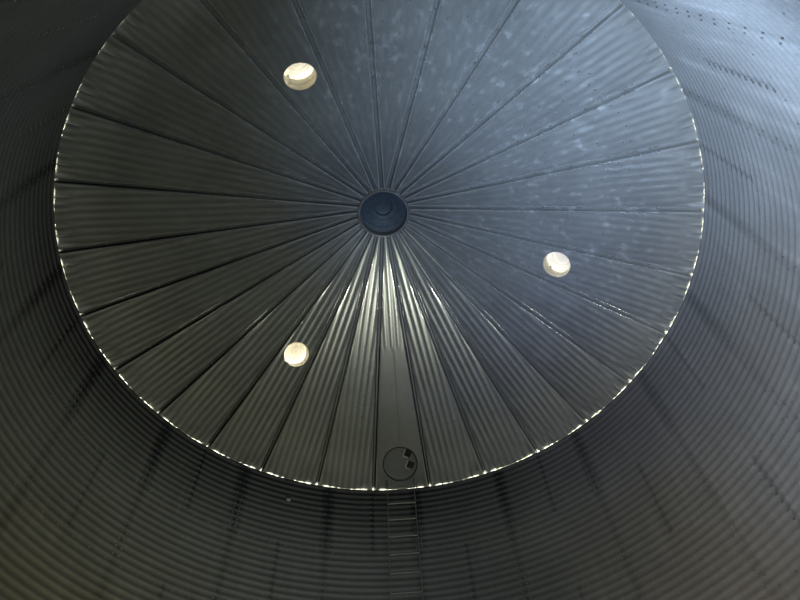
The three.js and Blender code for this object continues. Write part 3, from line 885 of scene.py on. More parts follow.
# The cap's indoor colour, on its underside and the fill lid's, is a near-black navy: painted shade.
CAP = Zinc("cap_zinc", (0.44, 0.45, 0.45), (0.014, 0.058, 0.100), Facing.UP, dusty_rough=0.6)
HATCH = Zinc(
    "hatch_zinc", (0.45, 0.46, 0.45), (0.175, 0.180, 0.145), Facing.UP, dusty_rough=0.55, dusty_shine=0.4
)
DOOR = Zinc("door_zinc", (0.47, 0.48, 0.48), (0.26, 0.26, 0.22), crystal=0.011)
RUBBER = Coat("black_rubber", (0.018, 0.018, 0.018), 0.75)
SWITCH = Coat("switch_paint", (0.045, 0.05, 0.045), 0.5)
PALE = Coat("pale_plastic", (0.62, 0.62, 0.57), 0.45)
STUDIO = Plaster("studio_floor", (0.78, 0.78, 0.77))


@dataclass
class Fastener:
    """A bolt through sheet steel, seen as a head with its washer on one side and a nut on the other.

    It lies along Y: the head looks to -Y and the nut to +Y.
    """

    across: float = 0.0075
    washer: float = 0.011
    head: float = 0.0055
    plate: float = 0.0022

    def end(self, sign: int, stub: float = 0.0) -> Body:
        """Makes one end of the bolt.

        Args:
            sign: -1 for the head and +1 for the nut.
            stub: how far the thread stands out of the nut.

        Returns:
            The washer, the hexagon and the thread's end.
        """
        body = Body()
        top = self.plate + self.head
        body.rod((0, 0, 0), (0, sign * self.plate, 0), self.washer, 8)
        body.rod((0, sign * self.plate, 0), (0, sign * top, 0), self.across, 6)
        if stub:
            body.rod((0, sign * top, 0), (0, sign * (top + stub), 0), self.across * 0.5, 6)
        return body

    def upright(self, sign: int, stub: float = 0.0) -> Body:
        """Makes the same end turned to stand along Z, which is up for +1 and down for -1."""
        return Body().join(self.end(sign, stub), Matrix.Rotation(math.pi / 2, 4, "X"))


@dataclass
class Assembly:
    """What the workshop turns into pieces: a sub-assembly of the silo, or the studio round it."""

    silo: Bin
    shop: Workshop


@dataclass
class Wall(Assembly):
    """The seven rings of corrugated sheets, in nine bays, with their bolts and foot angle."""

    rows_per_wave: int = 6
    column: float = 2.5
    lean: float = 0.0017
    lap_step: float = 0.0009
    lap: float = 0.7
    ring_lap: float = 0.05
    door_half: float = 6.0
    door_low: float = 0.28
    door_high: float = 1.98
    seam_bolts: int = 108
    lap_bolts: Sequence[float] = (0.18, 0.52)
    post_bolt: float = 0.57
    bolt_lift: float = 0.0022
    beside_door: float = 1.0
    over_door: float = 0.1
    foot: Outline = (
        (-0.0585, 0.0), (0.0, 0.0), (0.0, 0.055), (-0.005, 0.055), (-0.005, 0.006), (-0.0585, 0.006))
    foot_gap: float = 0.001
    foot_steps: int = 11

    @property
    def door_bay(self) -> int:
        """The bay that the door stands in, counted from 1."""
        return (self.silo.bays + 1) // 2

    def middle(self, bay: int) -> float:
        """Azimuth of a bay's middle."""
        return self.silo.bay_az - (bay - 1) * 360 / self.silo.bays

    def sheet(self, ring: int, start: float, end: float, steps: Range, door: float | None) -> Body:
        """Makes one sheet, or the half of one that lies in a bay.

        Args:
            ring: the ring, from 1 at the eave.
            start: azimuth of its first edge.
            end: azimuth of its last edge.
            steps: how far it stands outwards at those two edges, so that sheets lap.
            door: azimuth of the doorway to cut, or None.

        Returns:
            The closed sheet.
        """
        silo = self.silo
        top = silo.eave if ring == 1 else silo.seam(ring - 1)
        bottom = 0.0 if ring == silo.rings else silo.seam(ring) - self.ring_lap
        step = silo.wave / self.rows_per_wave
        rows = silo.eave - np.arange(math.ceil((silo.eave - top) / step), (silo.eave - bottom) / step) * step
        extra = [top, bottom]
        if door is not None:
            extra += [z for z in (self.door_low, self.door_high) if bottom < z < top]
        z = np.unique(np.round(np.concatenate([rows, extra]), 6))[::-1]
        count = max(2, round((end - start) / self.column) + 1)
        azimuth = start + self.column * np.arange(count)
        azimuth = np.append(azimuth[azimuth < end - 0.1], end)
        down = (top - z) / (top - bottom)
        middle = silo.wall_radius(z)[:, None] + self.lean * (2 * down[:, None] - 1)
        middle = middle + np.interp(azimuth, [start, end], steps)[None, :]
        angle = np.radians(azimuth)[None, :]
        faces = []
        for offset in (silo.sheet / 2, -silo.sheet / 2):
            radius = middle + offset
            height = np.broadcast_to(z[:, None], radius.shape)
            faces.append(np.stack([radius * np.cos(angle), radius * np.sin(angle), height], -1))
        keep = None
        if door is not None:
            across = (azimuth[:-1] + azimuth[1:]) / 2 - door
            up = (z[:-1] + z[1:]) / 2
            beside = (np.abs(across) >= self.door_half)[None, :]
            keep = beside | ((up <= self.door_low) | (up >= self.door_high))[:, None]
        return Body().plate(faces[0], faces[1], keep)

    def bay(self, bay: int) -> Body:
        """Makes all the sheets of a bay and the angle at its foot."""
        silo, middle = self.silo, self.middle(bay)
        half = 180 / silo.bays
        door = middle if bay == self.door_bay else None
        body = Body()
        for ring in range(1, silo.rings + 1):
            if ring % 2:
                steps = (-self.lap_step, self.lap_step)
                body.join(self.sheet(ring, middle - half, middle + half + self.lap, steps, door))
            else:
                body.join(self.sheet(ring, middle - half, middle + self.lap, (0, self.lap_step), door))
                body.join(self.sheet(ring, middle, middle + half, (-self.lap_step, 0), door))
        seat = silo.radius - silo.wave_depth / 2 - self.foot_gap
        along = np.linspace(middle - half, middle + half, self.foot_steps)
        turn = Matrix.Rotation(math.pi / 2, 4, "Z")
        return body.swept(self.foot, [facing(az, seat) @ turn for az in along])

    def spots(self, bay: int) -> list[tuple[float, float]]:
        """Lists the azimuth and height of every bolt of a bay."""
        silo, middle = self.silo, self.middle(bay)
        half = 180 / silo.bays
        crests = [silo.eave - (k + 0.5) * silo.wave for k in range(silo.rings * silo.waves_per_ring)]
        found = []
        for k, z in enumerate(crests):
            ring = next((r for r in range(1, silo.rings) if z > silo.seam(r)), silo.rings)
            edge = middle - half if ring % 2 else middle
            found += [(edge + offset, z) for offset in self.lap_bolts]
            for side in (-1, 1):
                post = middle + side * silo.stiffener_offset
                found += [(post + self.post_bolt * (1 if k % 2 else -1), z)]
        for ring in range(1, silo.rings):
            z = silo.eave - (1 + ring * silo.waves_per_ring) * silo.wave
            step = 360 / self.seam_bolts
            found += [(middle - half + (i + 0.5) * step, z) for i in range(self.seam_bolts // silo.bays)]
        if bay == self.door_bay:
            low, high = self.door_low - self.over_door, self.door_high + self.over_door
            beside = self.door_half + self.beside_door
            found = [(az, z) for az, z in found if abs(az - middle) > beside or z > high or z < low]
        return found

    def bolts(self, bay: int) -> Body:
        """Makes the heads and nuts of a bay's bolts."""
        bolt = Fastener()
        body = Body()
        spots = self.spots(bay)
        radius = [float(self.silo.wall_radius(z)) for _, z in spots]
        for sign in (-1, 1):
            places = [facing(az, r + sign * self.bolt_lift, z) for (az, z), r in zip(spots, radius)]
            body.copies(bolt.end(sign), places)
        return body

    def build(self) -> None:
        """Makes the nine bays and their bolts."""
        for bay in range(1, self.silo.bays + 1):
            nodes = [f"wall_bay_{bay}"]
            if bay == self.door_bay:
                nodes += ["wall_left_of_door", "wall_right_of_door", "wall_under_door"]
            self.shop.piece(f"wall_sheets_{bay}", self.bay(bay), WALL, "wall_sheet", nodes)
            self.shop.piece(f"wall_bolts_{bay}", self.bolts(bay), FASTENER, "framing", crease=25)


@dataclass
class Stiffener:
    """One hat-shaped post outside the wall, in three lengths, on its bolted foot."""

    silo: Bin
    flange: float = 0.055
    shoulder: float = 0.032
    crown: float = 0.028
    depth: float = 0.050
    sheet: float = 0.003
    top: float = 0.080
    splice: float = 0.26
    splice_rows: Sequence[float] = (-0.10, -0.04, 0.04, 0.10)
    splice_half: float = 0.043
    lift: float = 0.0005
    joint_gap: float = 0.004
    plate: tuple[float, float, float] = (0.160, 0.130, 0.010)
    gusset_out: float = 0.044
    gusset_thick: float = 0.006
    gusset_rise: float = 0.11
    anchor_in: float = 0.034

    def section(self, grow: float) -> list[tuple[float, float]]:
        """Returns the outline of the hat, grown outwards by a distance."""
        thick = self.sheet
        half = [(self.flange, grow), (self.flange, grow + thick), (self.shoulder + grow, grow + thick),
                (self.crown + grow, self.depth + grow)]
        inner = [(self.crown + grow - thick, self.depth + grow - thick), (self.shoulder + grow - thick, grow)]
        return half + [(-x, y) for x, y in reversed(half)] + [(-x, y) for x, y in reversed(inner)] + inner

    def body(self) -> Body:
        """Makes the post at the wall's seat: X across, Y outwards, Z up."""
        body = Body()
        joints = [0.0] + [self.silo.seam(ring) for ring in (5, 3)] + [self.silo.eave - self.top]
        for low, high in zip(joints, joints[1:]):
            start = Matrix.Translation((0, self.lift, low + self.joint_gap / 2))
            body.prism(self.section(0.0), high - low - self.joint_gap, start)
        nut = Fastener(across=0.009, washer=0.013).end(1, 0.006)
        for joint in joints[1:-1]:
            low_end = Matrix.Translation((0, self.lift, joint - self.splice / 2))
            body.prism(self.section(self.sheet), self.splice, low_end)
            rows = [joint + step for step in self.splice_rows]
            spots = [(x, self.sheet * 2, z) for z in rows for x in (-self.splice_half, self.splice_half)]
            spots += [(0, self.depth + self.sheet, z) for z in rows]
            body.copies(nut, [Matrix.Translation(spot) for spot in spots])
        return body.join(self.foot())

    def foot(self) -> Body:
        """Makes the foot plate with its two gussets and its anchor bolt."""
        width, depth, thick = self.plate
        body = Body().block((-width / 2, self.lift, 0), (width / 2, depth, thick))
        near = self.depth * 0.2
        gusset = [(near, thick), (depth - 0.02, thick), (near, thick + self.gusset_rise)]
        for side in (-1, 1):
            left = side * self.gusset_out - self.gusset_thick / 2
            turn = Matrix(((0, 0, 1, left), (1, 0, 0, 0), (0, 1, 0, 0), (0, 0, 0, 1)))
            body.prism(gusset, self.gusset_thick, turn)
        anchor = (0, depth - self.anchor_in)
        body.rod((*anchor, thick), (*anchor, thick + 0.004), 0.024, 16)
        body.rod((*anchor, thick + 0.004), (*anchor, thick + 0.022), 0.019, 6)
        return body.rod((*anchor, thick + 0.022), (*anchor, thick + 0.05), 0.010, 10)


@dataclass
class Posts(Assembly):
    """All the stiffeners round the wall."""

    sink: float = 0.0022

    def build(self) -> None:
        """Sets a post at each stiffener's azimuth."""
        body = Stiffener(self.silo).body()
        for number, azimuth in enumerate(self.silo.stiffener_azimuths, 1):
            post = Body().join(body, facing(azimuth, self.silo.wall_out - self.sink))
            name, nodes = f"stiffener_post_{number}", [f"stiffener_{number}"]
            self.shop.piece(name, post, FRAMING, "framing", nodes, crease=25)


@dataclass
class Roof(Assembly):
    """The fluted panels, their raised ribs and the bolts along them."""

    flute_depth: float = 0.005
    columns_per_flute: int = 6
    sheet: float = 0.0012
    top: float = 0.412
    rib_half: float = 0.038
    rib_roll: float = 0.007
    rib_flange: float = 0.020
    rib_crest: float = 0.019
    rib_height: float = 0.048
    rib_top: float = 0.408
    fade: float = 0.016
    eave_reach: float = 0.24
    eave_dip: float = 0.012
    eave_gaps: Sequence[Range] = (
        (0.091, 0.0), (0.104, 0.008), (0.118, 0.008), (0.131, 0.0), (0.170, 0.0),
        (0.183, 0.010), (0.196, 0.013), (0.235, 0.013), (0.248, 0.010), (0.261, 0.001),
        (0.274, 0.016), (0.287, 0.022), (0.365, 0.024), (0.385, 0.012), (0.398, 0.0))
    eave_rows: int = 8
    plain_from: float = 2.0
    plain_fade: float = 0.08
    plain_lift: float = 0.003
    seam_rise: float = 0.004
    seam_half: float = 0.006
    bolt_step: float = 0.508
    bolt_first: float = 1.16
    bolts_per_rib: int = 8
    rib_sides: int = 12
    layer: float = 0.0004
    vents: Sequence[Range] = ((130, 2.43), (10, 2.57), (-110, 2.60))
    vent_hole: float = 0.2045
    hatch_out: float = 3.744
    hatch_hole: float = 0.3003

    def edge(self, out: np.ndarray | float) -> np.ndarray | float:
        """Gives how far from its middle a panel reaches at a distance out along the middle."""
        return out * math.tan(self.silo.half_panel) - self.rib_half / math.cos(self.silo.half_panel)

    def profile(self, across: np.ndarray, out: np.ndarray, hatch: bool) -> np.ndarray:
        """Gives how high the sheet's middle stands over the panel's underside.

        Args:
            across: distance from the panel's middle line.
            out: distance from the axis along that line.
            hatch: whether this is the panel with the hatch, which is plain low down.

        Returns:
            The heights, one for each point.
        """
        wave = self.flute_depth / 2 * (1 - np.cos(2 * np.pi * across / self.silo.flute))
        if hatch:
            plain = smooth((out - self.plain_from) / self.plain_fade)
            seam = self.seam_rise * np.exp(-((across / self.seam_half) ** 2))
            wave = wave * (1 - plain) + (self.plain_lift + seam) * plain
        near = smooth((self.edge(out) - np.abs(across)) / self.fade)
        flutes = self.flute_depth - (self.flute_depth - wave) * near
        low = smooth(1 - (self.silo.radius - out) / self.eave_reach)
        sag = across ** 2 / (2 * self.silo.radius) * math.sin(math.radians(self.silo.pitch))
        opening = np.interp(np.abs(across), *zip(*self.eave_gaps))
        return self.sheet / 2 + flutes * (1 - low) + (opening - sag) * low

    def panel(self, azimuth: float) -> Body:
        """Makes the panel whose middle lies at an azimuth."""
        silo = self.silo
        last = silo.radius + silo.overhang
        step = self.silo.flute / self.columns_per_flute
        reach = int(self.edge(last) / step)
        columns = np.arange(-reach - 1, reach + 2) * step
        beside = self.rib_half / math.cos(silo.half_panel)
        starts = [(k * step + beside) / math.tan(silo.half_panel) for k in range(1, reach + 1)]
        starts = [start for start in starts if start > self.top + 0.02]
        ends = [last, silo.radius + 0.02, *(silo.radius - np.linspace(0, self.eave_reach, self.eave_rows))]
        out = np.unique(np.round([self.top] + starts + ends, 6))
        hatch = azimuth == silo.hatch_az
        if hatch:
            extra = np.linspace(self.plain_from - 0.02, self.plain_from + 0.1, 8)
            out = np.unique(np.concatenate([out, extra]))
        edge = self.edge(out)[:, None]
        across = np.clip(columns[None, :], -edge, edge)
        along = np.broadcast_to(out[:, None], across.shape)
        rise = self.profile(across, along, hatch)
        frame_at = np.array(silo.on_roof(azimuth, 0.0))
        right, up = frame_at[:3, 0], frame_at[:3, 2]
        az = math.radians(azimuth)
        spot = along[..., None] * np.array([math.cos(az), math.sin(az), 0])
        spot = spot + silo.underside(along)[..., None] * np.array([0, 0, 1]) + across[..., None] * right
        front = spot + (rise + self.sheet / 2)[..., None] * up
        back = spot + (rise - self.sheet / 2)[..., None] * up
        return Body().plate(front, back)

    def rib(self, azimuth: float) -> Body:
        """Makes the raised rib along the joint at an azimuth, a folded sheet open below."""
        sheet, half, crest, height = self.sheet, self.rib_half, self.rib_crest, self.rib_height
        layer = self.layer * (round((azimuth - self.silo.hatch_az) / 360 * self.silo.panels - 0.5) % 3)
        foot = self.flute_depth + sheet + self.layer + layer
        wide = half + self.rib_flange
        upper = [(wide, foot + sheet), (half + sheet * 0.4, foot + sheet), (crest, height - 0.006),
                 (crest - 0.006, height)]
        under = [(wide, foot), (half - sheet * 0.6, foot), (crest - sheet, height - 0.006 - sheet * 0.8),
                 (crest - 0.006 - sheet, height - sheet)]
        section = upper + [(-x, z) for x, z in reversed(upper)] + [(-x, z) for x, z in under] + under[::-1]
        low = (self.silo.radius + self.silo.overhang) / math.cos(self.silo.half_panel) - 0.002
        places = []
        full = [(radius, 1.0) for radius in (self.rib_top + 0.05, 2.4, low - self.eave_reach, low)]
        for radius, share in [(self.rib_top, 0.3)] + full:
            drop = self.eave_dip if radius == low else 0.0
            squash = Matrix.Translation((0, 0, foot * (1 - share) - drop)) @ Matrix.Diagonal((1, 1, share, 1))
            places.append(self.silo.on_rib(azimuth, radius) @ squash)
        body = Body().swept(section, places)
        roll = self.rib_roll
        for side in (-1, 1):
            turns = np.linspace(0, 2 * math.pi, self.rib_sides + 1)[:-1]
            middle, rest = side * half, self.flute_depth
            edge = [(middle + roll * math.cos(a), rest + roll * (math.sin(a) + 0.4)) for a in turns]
            body.swept(edge, places)
        return body

    def rib_spots(self, azimuth: float) -> list[Matrix]:
        """Lists the frames of the bolts through a rib's crest."""
        slope = math.radians(self.silo.pitch)
        along = [self.bolt_first + k * self.bolt_step for k in range(self.bolts_per_rib)]
        radii = [distance * math.cos(slope) for distance in along]
        return [self.silo.on_rib(azimuth, radius) for radius in radii if radius < self.silo.radius + 0.02]

    def hole(self, azimuth: float, out: float, radius: float) -> Body:
        """Makes the round tool that cuts a panel square to the roof."""
        reach = 0.1
        outline = [(0, -reach), (radius, -reach), (radius, reach), (0, reach)]
        return Body().turned(outline, 64, self.silo.on_roof(azimuth, out))

    def sector(self, number: int) -> Body:
        """Makes three panels and their three ribs."""
        silo = self.silo
        step = 360 / silo.panels
        middle = silo.hatch_az - (number - 1) * 3 * step
        body = Body()
        holes = [(az, out, self.vent_hole) for az, out in self.vents]
        holes.append((silo.hatch_az, self.hatch_out, self.hatch_hole))
        for turn in (-1, 0, 1):
            azimuth = middle + turn * step
            panel = self.panel(azimuth)
            tools = [self.hole(*hole) for hole in holes if abs((hole[0] - azimuth + 180) % 360 - 180) < 1]
            body.join(cut(panel, tools) if tools else panel)
            body.join(self.rib(azimuth - step / 2))
        return body

    def bolts(self) -> Body:
        """Makes the bolts through all the ribs, with their nuts in the hollow below."""
        body = Body()
        head = Fastener(across=0.009, washer=0.014).upright(1)
        nut = Fastener(across=0.009, washer=0.013, head=0.008).upright(-1, 0.012)
        step = 360 / self.silo.panels
        for k in range(self.silo.panels):
            spots = self.rib_spots(self.silo.hatch_az - step / 2 - k * step)
            body.copies(head, [spot @ Matrix.Translation((0, 0, self.rib_height)) for spot in spots])
            body.copies(nut, [spot @ Matrix.Translation((0, 0, self.rib_height - 0.002)) for spot in spots])
        return body

    def build(self) -> None:
        """Makes the nine sectors and the bolts."""
        for number in range(1, self.silo.bays + 1):
            nodes = [f"roof_sector_{number}"]
            self.shop.piece(f"roof_panels_{number}", self.sector(number), ROOF, "roof_sheet", nodes)
        self.shop.piece("rib_bolts", self.bolts(), FASTENER, "framing", crease=25)


@dataclass
class Peak(Assembly):
    """The collar that the panels hang from, the cap over it and the lid of the filling neck."""

    radius: float = 0.404
    sheet: float = 0.005
    lip: float = 0.022
    drop: float = 0.030
    rise: float = 0.130
    low_flange: float = 0.020
    flange_low: float = 0.006
    flange_high: float = 0.001
    bolt_out: float = 0.4145
    cap_sheet: float = 0.003
    cap_clear: float = 0.008
    beads: Sequence[float] = (0.22, 0.33)
    ties_at: Sequence[float] = (45, 135, 225, 315)
    skirt: float = 0.050
    pitch: float = 20.0
    neck: float = 0.145
    neck_rise: float = 0.040

    def ring(self) -> Body:
        """Makes the collar with its turned lip and its sloped flange."""
        silo, r = self.silo, self.radius
        seat = silo.underside(r)
        bottom, top, inside, lip = seat - self.drop, seat + self.rise, r - self.sheet, r - self.lip
        low = r + self.low_flange
        near, far = float(silo.underside(r)), float(silo.underside(low))
        outline = [(lip, bottom), (r, bottom), (r, near - self.flange_low), (low, far - self.flange_low),
                   (low, far - self.flange_high), (r, near - self.flange_high), (r, top), (inside, top),
                   (inside, bottom + self.sheet), (lip, bottom + self.sheet)]
        return Body().turned(outline, 108)

    def ring_bolts(self) -> Body:
        """Makes the bolts that hold the panels' tops to the flange."""
        nut = Fastener(across=0.007, washer=0.009, head=0.006).upright(-1, 0.004)
        azimuths = [self.silo.hatch_az + k * 360 / self.silo.panels for k in range(self.silo.panels)]
        under = Matrix.Translation((0, 0, -self.flange_low))
        return Body().copies(nut, [self.silo.on_roof(azimuth, self.bolt_out) @ under for azimuth in azimuths])

    @property
    def top(self) -> float:
        """Height of the collar's upper edge."""
        return float(self.silo.underside(self.radius)) + self.rise

    @property
    def crown(self) -> float:
        """Height of the cap where its neck begins."""
        reach = self.radius + self.cap_clear - self.neck - self.cap_sheet
        return self.top + self.cap_sheet + reach * math.tan(math.radians(self.pitch))

    def cap(self) -> Body:
        """Makes the cone of the cap, with two pressed beads, its skirt and its neck."""
        skirt, sheet, low = self.radius + self.cap_clear, self.cap_sheet, self.top - self.skirt
        slope = math.tan(math.radians(self.pitch))

        def on_cone(radius: float) -> float:
            """Gives the height of the cone's underside at a radius."""
            return self.top + (skirt - radius) * slope + pressed(radius, self.beads, 0.005, 0.007)

        radii = np.linspace(skirt, self.neck + sheet, 40)
        neck_top = self.crown + self.neck_rise
        outer = [(float(r), on_cone(float(r)) + sheet) for r in radii]
        inner = [(float(r), on_cone(float(r)) + 0.0004) for r in radii[::-1]]
        outline = [(skirt, low), (skirt + 0.004, low - 0.004), (skirt + sheet + 0.002, low),
                   (skirt + sheet, low + 0.006), (skirt + sheet, self.top)]
        outline += outer + [(self.neck + sheet, neck_top), (self.neck, neck_top), (self.neck, inner[0][1])]
        return Body().turned(outline + inner[1:], 96)

    def lid(self) -> Body:
        """Makes the lid over the filling neck, a low dome with a skirt."""
        rim = self.neck + self.cap_sheet + self.cap_clear
        seat = self.crown + self.neck_rise + 0.0004
        outer = [(rim + 0.003, seat - 0.024), (rim + 0.003, seat + 0.004), (rim - 0.006, seat + 0.011),
                 (0.70 * rim, seat + 0.026), (0.35 * rim, seat + 0.034), (0, seat + 0.037)]
        inner = [(0, seat + 0.033), (0.35 * rim, seat + 0.030), (0.70 * rim, seat + 0.022),
                 (rim - 0.008, seat + 0.008), (rim, seat + 0.002), (rim, seat - 0.024)]
        return Body().turned(inner + outer, 64)

    def ties(self) -> Body:
        """Makes the four straps that tie the cap to the collar."""
        body = Body()
        low = self.top - self.skirt - 0.06
        out = self.radius + self.cap_clear + self.cap_sheet
        nut = Fastener(across=0.008, washer=0.011).end(1, 0.004)
        for azimuth in self.ties_at:
            body.block((-0.015, out, low), (0.015, out + 0.003, self.top - 0.012), facing(azimuth))
            body.block((-0.015, self.radius, low), (0.015, out + 0.003, low + 0.003), facing(azimuth))
            body.copies(nut, [facing(azimuth, out + 0.003, self.top - 0.03)])
        return body

    def build(self) -> None:
        """Makes the pieces of the peak."""
        quarters = [f"peak_ring_{number}" for number in range(1, 5)]
        self.shop.piece("peak_collar", self.ring(), FRAMING, "framing", quarters)
        self.shop.piece("peak_collar_nuts", self.ring_bolts(), FASTENER, "framing", crease=25)
        self.shop.piece("peak_cap_cone", self.cap(), CAP, "cap", ["peak_cap"])
        self.shop.piece("fill_lid_cover", self.lid(), CAP, "cap", ["fill_lid"])
        self.shop.piece("peak_cap_straps", self.ties(), FASTENER, "cap", crease=25)


@dataclass
class Vent(Assembly):
    """One mushroom vent, square to the roof: throat, flange, straps and ringed hood."""

    number: int
    azimuth: float
    out: float
    throat: float = 0.200
    sheet: float = 0.0015
    rise: float = 0.200
    flange: float = 0.238
    rim: float = 0.300
    flat: float = 0.100
    rim_z: float = 0.240
    flat_z: float = 0.304
    ridges: Sequence[float] = (0.07, 0.125, 0.165, 0.205, 0.245)
    seat: float = 0.0112
    bead: float = 0.096
    screws: int = 12
    screw_out: float = 0.025
    strap_half: float = 0.012
    strap_top: float = 0.262

    def neck(self) -> Body:
        """Makes the throat with a turned edge, the flange on the panel and its screws."""
        r, t, seat, rise, bead, flange = self.throat, self.sheet, self.seat, self.rise, self.bead, self.flange
        outline = [(r, 0.001), (r + t, 0.001), (r + t, seat), (flange - 0.002, seat), (flange, seat - 0.004),
                   (flange + t, seat - 0.004), (flange + t, seat + t), (r + 0.008, seat + t),
                   (r + t, seat + 0.008), (r + t, bead - 0.006), (r + 0.005, bead), (r + t, bead + 0.006),
                   (r + t, rise - 0.006), (r + 0.006, rise - 0.006), (r + 0.007, rise),
                   (r + 0.001, rise + 0.002), (r, rise), (r, bead + 0.006), (r + 0.0035, bead),
                   (r, bead - 0.006)]
        place = self.silo.on_roof(self.azimuth, self.out)
        body = Body().turned(outline, 72, place)
        screw = Fastener(across=0.006, washer=0.009).upright(1)
        return body.copies(screw, around(place, self.screws, (r + self.screw_out, 0, seat + t)))

    def straps(self) -> Body:
        """Makes the three straps between the throat and the hood."""
        body = Body()
        half, top, outer = self.strap_half, self.strap_top, self.throat + 0.008
        screw = Fastener(across=0.007, washer=0.010)
        rows = (self.rise - 0.04, self.rise - 0.018)
        for spot in around(self.silo.on_roof(self.azimuth, self.out), 3):
            body.block((-half, outer - 0.002, self.rise - 0.055), (half, outer + 0.001, top), spot)
            body.block((-half, outer - 0.002, top - 0.003), (half, outer + 0.035, top), spot)
            body.copies(screw.end(1, 0.003), [spot @ Matrix.Translation((0, outer + 0.001, z)) for z in rows])
            inside = spot @ Matrix.Translation((0, self.throat, rows[0])) @ Matrix.Rotation(math.pi, 4, "Z")
            body.copies(screw.end(1), [inside])
        return body

    def cover(self, radius: float) -> float:
        """Gives the height of the hood's upper face at a radius."""
        fall = (radius - self.flat) / (self.rim - self.flat)
        dome = self.flat_z - (self.flat_z - self.rim_z) * max(fall, 0.0) ** 1.15
        return dome + pressed(radius, self.ridges, 0.0035, 0.006)

    def hood(self) -> Body:
        """Makes the hood, a shallow dish with pressed rings and a rolled rim."""
        rim, low = self.rim, self.rim_z
        radii = [float(r) for r in np.linspace(0, rim - 0.004, 75)]
        outer = [(r, self.cover(r)) for r in radii[::-1]]
        inner = [(r, self.cover(r) - self.sheet) for r in radii]
        roll = [(rim - 0.0015, low - 0.004), (rim - 0.001, low - 0.010), (rim + 0.001, low - 0.010),
                (rim + 0.0015, low - 0.002)]
        return Body().turned(inner + roll + outer, 72, self.silo.on_roof(self.azimuth, self.out))

    def build(self) -> None:
        """Makes the vent's pieces."""
        number = self.number
        self.shop.piece(f"vent_throat_{number}", self.neck(), VENT, "vent", [f"vent_neck_{number}"])
        self.shop.piece(f"vent_straps_{number}", self.straps(), FASTENER, "vent", crease=25)
        self.shop.piece(f"vent_cover_{number}", self.hood(), VENT, "vent", [f"vent_hood_{number}"], crease=50)


